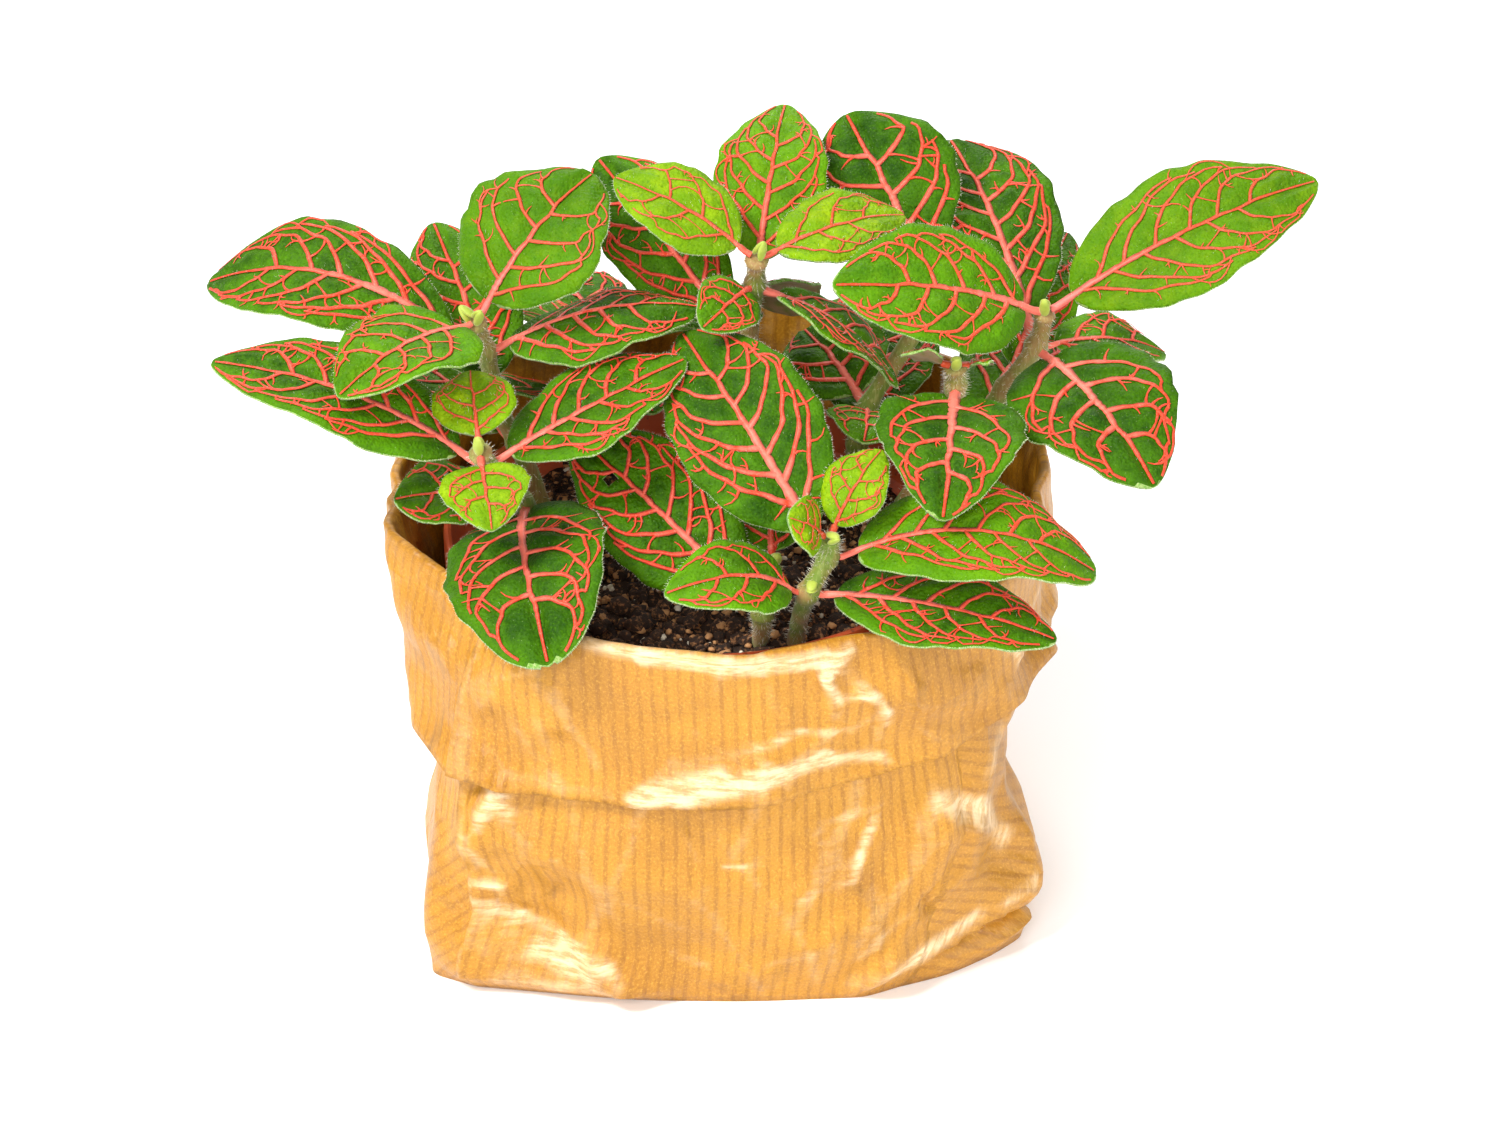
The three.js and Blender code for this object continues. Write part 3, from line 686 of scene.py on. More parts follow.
@dataclass
class Leaf:
    """One leaf: blade, midrib with its petiole, net of veins and down.

    A flat leaf has its length along x from the blade's base, its width along y and its thickness along z.
    spread() lays it in the plant: lift arches the midrib, fold raises the halves, curl lets the margins
    fall and wave ripples them.
    """

    name: str
    at: Point
    tip: Point
    face: Point
    width: float
    tone: Tone = Tone.DARK
    lift: float = 0.1
    fold: float = 0.25
    curl: float = 0.2
    wave: float = 0.08
    full: float = 0.85
    blunt: float = 0.65
    reach: float = COLLAR_R + SEAT_GAP
    thickness: float = 0.45
    hole: Point | None = None

    def __post_init__(self) -> None:
        """Works out the leaf's own axes."""
        self.draw = random.Random(self.name)
        at, tip, face = (np.array(place, float) for place in (self.at, self.tip, self.face))
        self.along = unit(tip - at)
        self.base = at + self.along * self.reach
        self.length = float(np.linalg.norm(tip - self.base))
        self.up = unit(face - self.along * float(self.along @ face))
        self.across = np.cross(self.up, self.along)
        self.scale = min(MOST_SCALE, max(LEAST_SCALE, self.width / USUAL_WIDTH))
        self.bold = VEIN_BOLDNESS[self.tone] * self.scale ** 0.8

    def half_width(self, share: np.ndarray) -> np.ndarray:
        """Half the blade's width.

        Args:
            share: How much of the blade is passed.

        Returns:
            The width from the middle to the margin.
        """
        inside = np.clip(share, 0, 1) ** self.full
        lobes = 1 + 0.018 * np.sin(share * 29 + self.width) + 0.012 * np.sin(share * 53 + self.length)
        return self.width / 2 * np.abs(np.sin(math.pi * inside)) ** self.blunt * lobes

    def flat(self, share: np.ndarray, column: np.ndarray) -> np.ndarray:
        """Places shares of the blade, 0 to 1 along it and -1 to 1 across it, on the flat leaf."""
        start = PETIOLE_SHARE * self.length
        return np.c_[start + share * (self.length - start), self.half_width(share) * column]

    def spread(self, flat: np.ndarray) -> np.ndarray:
        """Lays points of the flat leaf in the plant.

        Args:
            flat: Rows of x, y and z.

        Returns:
            Rows of the places in the part's frame.
        """
        share = flat[:, 0] / self.length
        half = np.maximum(self.half_width((share - PETIOLE_SHARE) / (1 - PETIOLE_SHARE)), PETIOLE_R)
        column = np.clip(flat[:, 1] / half, -1.25, 1.25)
        side = np.abs(column)
        inside = np.clip(share, 0, 1)
        rise = self.lift * self.length * 4 * inside * (1 - inside)
        ripple = self.wave * side ** 2 * np.sin(share * RIPPLES + np.where(column > 0, RIPPLE_SHIFT, 0))
        frill = 0.018 * side ** 4 * np.sin(share * 34 + column * 2 + self.width)
        height = flat[:, 2] + rise + half * (self.fold * side - self.curl * side ** 2 + ripple + frill)
        return (self.base + flat[:, :1] * self.along + flat[:, 1:2] * self.across
                + height[:, None] * self.up)

    def midrib(self) -> tuple[np.ndarray, np.ndarray, np.ndarray]:
        """Lays out the midrib, which bends a little away at each side vein.

        Returns:
            The shares of the blade where side veins leave, which side each is on, and the midrib's
            points on the flat leaf.
        """
        count = min(MOST_PAIRS, max(FEWEST_PAIRS, round(self.length / VEIN_PITCH)))
        origins, sides = [], []
        for pair in range(count):
            for side, late in ((-1, 0.0), (1, 0.38)):
                jitter = self.draw.uniform(-0.08, 0.08)
                origins.append(0.05 + 0.76 * (pair + late + jitter) / count)
                sides.append(side)
        share = np.linspace(0, RIB_END, RIB_POINTS)
        bend = 0.055 * self.scale * 13 * share ** 1.2 * (1 - share) ** 0.3
        sway = np.interp(share, np.r_[0, origins, 1], np.r_[0, sides, 0])
        sway = np.convolve(np.pad(sway, 2, "edge"), np.ones(5) / 5, "valid")
        points = self.flat(share, np.zeros(RIB_POINTS))
        points[:, 1] = bend * sway
        return np.array(origins), np.array(sides), points

    def side_vein(self, origin: float, side: int, start_y: float, steps: np.ndarray) -> np.ndarray:
        """Draws one side vein, steep at first and then bending forwards.

        Args:
            origin: Share of the blade where it leaves the midrib.
            side: -1 or 1.
            start_y: Where the midrib is there.
            steps: How far along the vein each point is, 0 to 1.

        Returns:
            Rows of x and y.
        """
        reach = 0.43 * (1 - 0.52 * origin)
        share = np.minimum(origin + reach * (0.42 * steps + 0.58 * steps ** 2), 0.97)
        path = self.flat(share, side * 0.83 * (1 - (1 - steps) ** 1.6))
        phase = self.draw.uniform(0, 6.28)
        sway = 0.3 * self.scale * np.sin(steps * 11 + phase) + 0.16 * np.sin(steps * 23 + 2 * phase)
        path[:, 1] += start_y * (1 - steps) ** 2 + sway * 4 * steps * (1 - steps)
        return path

    def bowed(self, start: np.ndarray, end: np.ndarray, bow: float, count: int) -> np.ndarray:
        """Draws an arc between two points of the flat leaf.

        Args:
            start: The first point.
            end: The last point.
            bow: How far the arc stands off, as a share of its length.
            count: How many points it has.

        Returns:
            Rows of x and y.
        """
        steps = np.linspace(0, 1, count)[:, None]
        run = end - start
        away = np.array([-run[1], run[0]]) * bow
        return start + run * steps + away * 4 * steps * (1 - steps)

    def spur(self, path: np.ndarray, place: float, side: float, length: float) -> np.ndarray:
        """Draws a short vein that leaves another one and ends free.

        Args:
            path: The vein that it leaves.
            place: How far along that vein, 0 to 1.
            side: On which side, -1 or 1.
            length: Its length.

        Returns:
            Rows of x and y.
        """
        index = int(np.clip(place * (len(path) - 1), 0, len(path) - 2))
        ahead = unit(path[index + 1] - path[index])
        aside = np.array([-ahead[1], ahead[0]]) * side
        tip = path[index] + (ahead * self.draw.uniform(0.2, 0.9) + aside) * length
        return self.bowed(path[index], tip, self.draw.uniform(-0.22, 0.22), 4)

    def inside(self, points: np.ndarray) -> np.ndarray:
        """Keeps vein points a little within the margin.

        Args:
            points: Rows of x and y.

        Returns:
            The same rows, moved in where they lay too far out.
        """
        share = (points[:, 0] / self.length - PETIOLE_SHARE) / (1 - PETIOLE_SHARE)
        limit = np.maximum(self.half_width(share) - VEIN_INSET, 0.05)
        points[:, 1] = np.clip(points[:, 1], -limit, limit)
        return points

    def ties(self, path: np.ndarray, ahead: np.ndarray, side: int) -> list[Vein]:
        """Draws the finer veins between two neighbouring side veins.

        Args:
            path: The side vein nearer the base.
            ahead: The one nearer the tip.
            side: The half of the leaf, -1 or 1.

        Returns:
            The veins.
        """
        bold, draw = self.bold, self.draw
        found = []
        if draw.random() < JOINT_ODDS:
            joint = self.bowed(path[-1], ahead[draw.randint(12, 15)], -0.16 * side, 5)
            found.append((joint, np.full(5, bold * 0.28)))
        if draw.random() < LOOP_ODDS:
            loop = self.bowed(path[draw.randint(11, 13)], ahead[14], 0.34 * side, 8)
            found.append((loop, np.full(8, bold * 0.22)))
            for place in (0.3, 0.7):
                if draw.random() < TOOTH_ODDS:
                    tooth = self.spur(loop, place, side, bold * draw.uniform(0.8, 1.6))
                    found.append((tooth, bold * np.linspace(0.2, 0.07, 4)))
        for first, second in ((8, 3), (12, 7)):
            if draw.random() < RUNG_ODDS:
                shift = draw.randint(-2, 2)
                rung = self.bowed(path[first + shift], ahead[second + max(shift, 0)],
                                  draw.uniform(-0.2, 0.2), 5)
                found.append((rung, bold * np.array([0.34, 0.24, 0.18, 0.24, 0.34])))
        return found

    def spurs(self, path: np.ndarray, origin: float, side: int) -> list[Vein]:
        """Draws the spurs that leave a side vein.

        Args:
            path: The side vein.
            origin: Share of the blade where it leaves the midrib.
            side: The half of the leaf, -1 or 1.

        Returns:
            The spurs and their forks.
        """
        bold, draw = self.bold, self.draw
        found = []
        for place in np.arange(0.2, 0.98, 0.13):
            turn = side if draw.random() < OUTER_ODDS else -side
            length = bold * draw.uniform(1.6, 4.2) * (1 - 0.35 * origin)
            if draw.random() < SPUR_ODDS:
                spur = self.spur(path, place + draw.uniform(-0.05, 0.05), turn, length)
                found.append((spur, bold * np.linspace(0.31, 0.08, 4)))
                if draw.random() < FORK_ODDS:
                    fork = self.spur(spur, 0.6, draw.choice((-1, 1)), length * 0.5)
                    found.append((fork, bold * np.linspace(0.22, 0.08, 4)))
        return found

    def veins(self) -> list[Vein]:
        """Draws the whole net of veins, the midrib first.

        Returns:
            For each vein its points on the flat leaf, rows of x and y, and its radius at each.
        """
        bold = self.bold
        origins, sides, rib = self.midrib()
        fall = np.linspace(0, 1, RIB_POINTS)
        found = [(rib, bold * (1.08 - 0.8 * fall ** 0.75))]
        steps = np.linspace(0, 1, VEIN_POINTS)
        start_y = np.interp(origins, fall * RIB_END, rib[:, 1])
        halves = {-1: [], 1: []}
        for origin, side, y in zip(origins, sides, start_y):
            path = self.side_vein(origin, side, y, steps)
            found.append((path, bold * (0.6 - 0.17 * origin) * (1.08 - 0.6 * steps)))
            halves[side].append((path, origin))
        for side, row in halves.items():
            for (path, _), (ahead, _) in zip(row, row[1:]):
                found += self.ties(path, ahead, side)
            for path, origin in row:
                found += self.spurs(path, origin, side)
        kept = []
        for path, radii in found:
            wobble = np.array([self.draw.uniform(0.84, 1.16) for _ in radii])
            kept.append((self.inside(path), np.maximum(radii * wobble, 0.06)))
        return kept

    def unevenness(self, x: float, y: float) -> float:
        """Gives the soft unevenness of the blade at a point, -1 to 1."""
        return noise.noise(Vector((x * 0.35, y * 0.35, self.width)))

    def blade(self, tree: KDTree, radii: np.ndarray) -> Form:
        """Makes the flat blade, puffed up between its veins.

        Args:
            tree: The veins' points.
            radii: The vein's radius at each of them.

        Returns:
            The blade, which keeps at each vertex the gap to a vein, the share across and its youth.
        """
        rows = int(min(56, max(16, self.length)))
        columns = 2 * int(min(13, max(5, self.width * 0.48)))
        form = bmesh.new()
        bmesh.ops.create_grid(form, x_segments=rows, y_segments=columns, size=0.5)
        layers = form.verts.layers.float
        vein_mm, edge, youth = (layers.new(name) for name in ("vein_mm", "edge", "youth"))
        grid = coordinates(form)
        even = grid[:, 0] + 0.5
        share = 0.006 + 0.99 * (0.4 * even + 0.6 * (1 - np.cos(math.pi * even)) / 2)
        column = grid[:, 1] * 2
        for vertex, (x, y), wide in zip(form.verts, self.flat(share, column), column):
            _, index, gap = tree.find((x, y, 0))
            free = min(max(gap - radii[index], 0) / 1.9, 1)
            puff = self.scale * free * free * (3 - 2 * free) * (1 - wide ** 6)
            vertex.co = (x, y, puff + 0.12 * self.unevenness(x, y))
            vertex[vein_mm] = gap
            vertex[edge] = abs(wide)
            vertex[youth] = min(1, (16 / self.width) ** 2)
        if self.hole:
            gone = [face for face in form.faces if self.in_hole(face.calc_center_median())]
            bmesh.ops.delete(form, geom=gone, context="FACES")
        bmesh.ops.solidify(form, geom=form.faces[:], thickness=self.thickness)
        bmesh.ops.recalc_face_normals(form, faces=form.faces[:])
        for face in form.faces:
            upright = face.normal.z
            face.material_index = UPPER if upright > 0.45 else UNDER if upright < -0.45 else MARGIN
        return form

    def in_hole(self, place: Vector) -> bool:
        """Tells whether a point of the flat leaf lies in the hole that something has eaten."""
        x, y, size = self.hole
        return (place.x - x) ** 2 + ((place.y - y) * 1.5) ** 2 < size ** 2

    def add_net(self, form: Form, veins: list[Vein], tree: KDTree, radii: np.ndarray) -> None:
        """Lays the raised veins on the flat blade and leads the midrib on as the petiole.

        Args:
            form: The blade, which gets them.
            veins: The veins, the midrib first.
            tree: The veins' points.
            radii: The vein's radius at each of them.
        """
        (rib, rib_radii), *others = veins
        stalk = np.linspace(1.2 - self.reach, rib[0, 0], 8)[:-1]
        rib = np.r_[np.c_[stalk, np.zeros(len(stalk))], rib]
        rib_radii = np.r_[np.full(len(stalk), max(0.75, rib_radii[0])), rib_radii]
        blade_count, blade_faces = len(form.verts), len(form.faces)
        veins = [(rib, rib_radii), *others]
        add_tubes(form, [(np.c_[path, np.zeros(len(path))], radius) for path, radius in veins], 0)
        vein_mm, edge = (form.verts.layers.float[name] for name in ("vein_mm", "edge"))
        petiole = PETIOLE_SHARE * self.length
        for vertex in form.verts[blade_count:]:
            x, y, z = vertex.co
            vertex[vein_mm] = radii[tree.find((x, y, 0))[1]]
            vertex[edge] = 0.3
            stem_like = 1 - min(max((x - 0.6 * petiole) / (petiole + 2), 0), 1)
            top = self.thickness / 2 + (0.06 + 0.12 * self.unevenness(x, y))
            vertex.co.z = z * (0.2 + 0.8 * stem_like) + top * (1 - stem_like)
        for face in form.faces[blade_faces:]:
            face.material_index = VEIN

    def down(self) -> tuple[np.ndarray, np.ndarray]:
        """Places the down of the margin and of the upper side's veins.

        Returns:
            The roots and tips on the flat leaf.
        """
        draw = self.draw
        roots, tips = [], []
        rim_hairs = int(self.length * RIM_HAIRS)
        for side in (-1, 1):
            for hair in range(rim_hairs):
                share = 0.03 + 0.965 * ((hair + draw.random()) / rim_hairs)
                near, on = self.flat(np.array([share, min(share + 0.01, 1)]), np.full(2, side * 0.995))
                ahead = unit(on - near)
                lean = np.array([-ahead[1], ahead[0]]) * side + ahead * draw.uniform(-0.4, 0.7)
                roots.append((*near, 0.0))
                tips.append((*(near + lean * draw.uniform(0.25, 0.6)), draw.uniform(-0.25, 0.45)))
        for _ in range(int(self.length * RIB_HAIRS)):
            share = draw.random() ** 1.3 * 0.95
            column = max(-0.95, min(draw.gauss(0, 0.32), 0.95))
            x, y = self.flat(np.array([share]), np.array([column]))[0]
            roots.append((x, y, 0.1))
            tips.append((x + draw.uniform(-0.1, 0.5), y + draw.uniform(-0.25, 0.25),
                         0.1 + draw.uniform(0.45, 0.95)))
        return np.array(roots), np.array(tips)

    def build(self, palette: "Palette") -> None:
        """Makes the leaf and lets it stand for its solid.

        Args:
            palette: The finishes.
        """
        veins = self.veins()
        points = np.concatenate([path for path, _ in veins])
        radii = np.concatenate([radius for _, radius in veins])
        tree = KDTree(len(points))
        for index, point in enumerate(points):
            tree.insert((*point, 0), index)
        tree.balance()
        form = self.blade(tree, radii)
        self.add_net(form, veins, tree, radii)
        for vertex, place in zip(form.verts, self.spread(coordinates(form))):
            vertex.co = place
        roots, tips = self.down()
        add_hairs(form, self.spread(roots), self.spread(tips), LEAF_HAIR_R, LEAF_DOWN)
        piece = linked(f"blade_{self.name}", form, palette.leaves[self.tone])
        hand_over(piece, f"leaf_{self.name}")


@dataclass
class Stem:
    """One leafy shoot's stem, from the soil through its leaf nodes to its buds."""

    name: str
    path: tuple[Point, ...]
    collars: tuple[Point, ...]
    buds: tuple[Point, ...]
    samples: int = 14
    swelling: float = 0.65

    def curve(self) -> np.ndarray:
        """Draws the stem's middle line through its path.

        Returns:
            Rows of places, samples to each stretch.
        """
        path = np.array(self.path, float)
        path = np.vstack([2 * path[0] - path[1], path, 2 * path[-1] - path[-2]])
        step = np.linspace(0, 1, self.samples, endpoint=False)[:, None]
        square, cube = step ** 2, step ** 3
        found = []
        for before, start, end, after in zip(path, path[1:], path[2:], path[3:]):
            runs = (start - before, end - start, after - end)
            behind, here, beyond = (np.linalg.norm(run) ** 0.5 for run in runs)
            middle = (end - start) / here
            first = (start - before) / behind - (end - before) / (behind + here) + middle
            last = middle - (after - start) / (here + beyond) + (after - end) / beyond
            found.append((2 * cube - 3 * square + 1) * start + (cube - 2 * square + step) * (first * here)
                         + (3 * square - 2 * cube) * end + (cube - square) * (last * here))
        return np.vstack([*found, path[-2:-1]])

    def girth(self, line: np.ndarray) -> np.ndarray:
        """The stem's radius, swollen at each leaf node.

        Args:
            line: The stem's middle line.

        Returns:
            The radius at each of its places.
        """
        radius = np.full(len(line), STEM_R * 0.93)
        for collar in self.collars:
            gap = np.linalg.norm(line - np.array(collar), axis=1)
            radius += self.swelling * np.exp(-(gap / 1.7) ** 2)
        radius[-1] *= 0.55
        return radius

    def add_bud(self, form: Form, line: np.ndarray, place: Point) -> None:
        """Adds a bud of two folded leaflets.

        Args:
            form: The form that gets it.
            line: The stem's middle line.
            place: Where the bud is.
        """
        end = np.array(place, float)
        root = line[np.argmin(np.linalg.norm(line - end, axis=1))]
        growth = Vector(end - root)
        length = growth.length + 1.3
        upright = Matrix.Translation(Vector(root)) @ upright_to(growth)
        for side in (-1, 1):
            lean = Matrix.Translation((0, side * 0.55, length * 0.55)) @ Matrix.Rotation(side * 0.22, 4, "X")
            shape = lean @ Matrix.Diagonal((1.05, 0.6, length * 0.52, 1))
            made = bmesh.ops.create_uvsphere(form, u_segments=14, v_segments=9, radius=1.0,
                                             matrix=upright @ shape)
            dress(made, BUD)

    def build(self, palette: "Palette") -> None:
        """Makes the stem with its buds and down, and lets it stand for its solid.

        Args:
            palette: The finishes.
        """
        draw = random.Random(self.name)
        line = self.curve()
        radius = self.girth(line)
        form = bmesh.new()
        add_tubes(form, [(line, radius * np.array([draw.uniform(0.95, 1.05) for _ in radius]))], 3)
        for bud in self.buds:
            self.add_bud(form, line, bud)
        roots, tips = [], []
        shown = [index for index, place in enumerate(line) if place[2] > SHOWN_Z][:-1]
        for _ in range(STEM_HAIRS * len(shown)):
            index = draw.choice(shown)
            run = line[index + 1] - line[index]
            ahead = unit(run)
            out = np.array([draw.gauss(0, 1) for _ in range(3)])
            out = unit(out - ahead * float(out @ ahead))
            place = line[index] + run * draw.random()
            roots.append(place + out * radius[index] * 0.9)
            tip = place + out * (radius[index] + draw.uniform(0.45, 1.1))
            tips.append(tip + ahead * draw.uniform(-0.3, 0.5))
        add_hairs(form, np.array(roots), np.array(tips), STEM_HAIR_R, STEM_DOWN)
        piece = linked(f"stalk_{self.name}", form, palette.stem)
        hand_over(piece, f"stem_{self.name}")


@dataclass
class Pot:
    """The nursery pot: one moulded wall with a rim band, and drain holes in its foot."""

    rim_r: float = 51.5
    top_r: float = 49.0
    foot_r: float = 37.0
    foot_z: float = 1.1
    height: float = 75.5
    wall: float = 1.2
    rim_drop: float = 8.0
    shoulder: float = 1.4
    foot_round: float = 1.5
    band_round: float = 0.8
    # The rim's rounded lip, as steps in radius and height from its outer top corner
    lip: Table = ((0, -1.0), (-0.3, -0.3), (-0.9, 0), (-1.5, -0.3), (-1.8, -1.0))
    holes: int = 6
    hole_r: float = 3.0
    holes_r: float = 24.0
    steps: int = 120

    def profile(self) -> list[Pair]:
        """Lists the wall's corners.

        Returns:
            Their radius and height, from the axis under the foot round to the axis above it.
        """
        top = self.foot_z + self.height
        band = top - self.rim_drop
        body = self.top_r - self.shoulder
        inside = self.foot_z + self.wall
        return [(0, self.foot_z), (self.foot_r - self.foot_round, self.foot_z),
                (self.foot_r, self.foot_z + self.foot_round), (body, band),
                (self.rim_r - self.band_round, band), (self.rim_r, band + self.band_round),
                *((self.rim_r + out, top + up) for out, up in self.lip),
                (self.top_r - self.wall / 2, band + self.band_round),
                (body - self.wall, band - self.band_round), (self.foot_r - self.wall, inside), (0, inside)]

    def drain_cutter(self) -> bpy.types.Object:
        """Makes the pegs that cut the drain holes.

        Returns:
            The pegs, as one object.
        """
        form = bmesh.new()
        for hole in range(self.holes):
            angle = hole / self.holes * 2 * math.pi
            place = (POT_AXIS[0] + self.holes_r * math.cos(angle),
                     POT_AXIS[1] + self.holes_r * math.sin(angle), self.foot_z)
            bmesh.ops.create_cone(form, cap_ends=True, segments=24, radius1=self.hole_r,
                                  radius2=self.hole_r, depth=6, matrix=Matrix.Translation(place))
        return linked("drain_pegs", form, [], smooth=False)

    def build(self, palette: "Palette") -> None:
        """Makes the pot and lets it stand for its solid.

        Args:
            palette: The finishes.
        """
        form = revolve(self.profile(), self.steps)
        for edge in form.edges:
            edge.smooth = edge.calc_face_angle(0) < 0.6
        piece = linked("pot_wall", form, [palette.pot])
        cut = piece.modifiers.new("drain_holes", "BOOLEAN")
        cut.object = self.drain_cutter()
        cut.solver = "EXACT"
        graph = bpy.context.evaluated_depsgraph_get()
        mesh = bpy.data.meshes.new_from_object(piece.evaluated_get(graph))
        bpy.data.objects.remove(cut.object)
        piece.modifiers.clear()
        piece.data = mesh
        hand_over(piece, "nursery_pot")


@dataclass
class Soil:
    """The soil: a crumbly body with clods, fibres and pale grains on top."""

    top: float = 68.0
    radius: float = 46.0
    floor: float = 2.6
    foot_r: float = 36.5
    rings: int = 46
    steps: int = 150
    # Clods, pale grains and fibres: how many, smallest and largest radius, material, thickness against
    # width, and how high the middle stands above the soil, in radii
    strewn: Table = ((1500, 0.5, 2.3, GROUND, 0.75, 0.3), (300, 0.25, 0.8, GRAIN, 0.95, 0.9),
                     (1100, 0.3, 1.1, BARK, 0.7, 0.9))

    def height(self, x: float, y: float) -> float:
        """The soil's height at a point measured from the pot's axis.

        Args:
            x: The point's distance to the right.
            y: Its distance to the back.

        Returns:
            The height.
        """
        dome = 1.5 * (1 - (x * x + y * y) / self.radius ** 2)
        lumps = math.sin(x * 0.31 + 1) * math.cos(y * 0.27) + 0.6 * math.sin(x * 0.72 - y * 0.55)
        crumbs = 0.9 * noise.noise(Vector((x * 0.3, y * 0.3, 4))) + 0.7 * noise.noise(Vector((x, y, 9)))
        return self.top + dome + 0.8 * lumps + crumbs

    def build(self, palette: "Palette") -> None:
        """Makes the soil and lets it stand for its solid.

        Args:
            palette: The finishes.
        """
        profile = [(0, self.floor), (self.foot_r - 2, self.floor), (self.foot_r, self.floor + 2)]
        profile += [(self.radius * (1 - ring / self.rings), self.top) for ring in range(self.rings + 1)]
        form = revolve(profile, self.steps)
        for vertex in form.verts:
            if vertex.co.z > self.top - 1:
                vertex.co.z = self.height(vertex.co.x - POT_AXIS[0], vertex.co.y - POT_AXIS[1])
        draw = random.Random("soil")
        for count, *grain in self.strewn:
            for start in range(0, count, BATCH):
                part = bmesh.new()
                for _ in range(min(BATCH, count - start)):
                    self.add_grain(part, draw, *grain)
                merge(form, part)
        hand_over(linked("soil_bed", form, palette.soil), "soil")

    def add_grain(self, form: Form, draw: random.Random, low: float, high: float, material: int,
                  flatness: float, proud: float) -> None:
        """Adds one grain somewhere on the soil.

        Args:
            form: The form that gets it.
            draw: The source of random numbers.
            low: Its smallest radius.
            high: Its largest radius.
            material: Its material's index.
            flatness: How thick it is against its width.
            proud: How high its middle stands above the soil, in radii.
        """
        away = (self.radius - 1.5) * math.sqrt(draw.random())
        angle = draw.uniform(0, 2 * math.pi)
        x, y = away * math.cos(angle), away * math.sin(angle)
        size = low + (high - low) * draw.random() ** 2
        turn = Matrix.Rotation(draw.uniform(0, 6.28), 4, "Z")
        turn = turn @ Matrix.Rotation(draw.uniform(-0.6, 0.6), 4, "X")
        shape = Matrix.Diagonal((size * draw.uniform(0.8, 1.5), size, size * flatness, 1))
        place = (POT_AXIS[0] + x, POT_AXIS[1] + y, self.height(x, y) + size * proud)
        made = bmesh.ops.create_icosphere(form, subdivisions=1, radius=1,
                                          matrix=Matrix.Translation(place) @ turn @ shape)
        for vertex in made["verts"]:
            vertex.co += Vector([draw.uniform(-0.22, 0.22) * size for _ in range(3)])
        dress(made, material)


class Stretch(Enum):
    """The stretches of the bag's sheet, from the middle of its floor over the mouth to the hem."""

    FLOOR = "floor"
    WALL = "wall"
    FOLD = "fold"
    CUFF = "cuff"


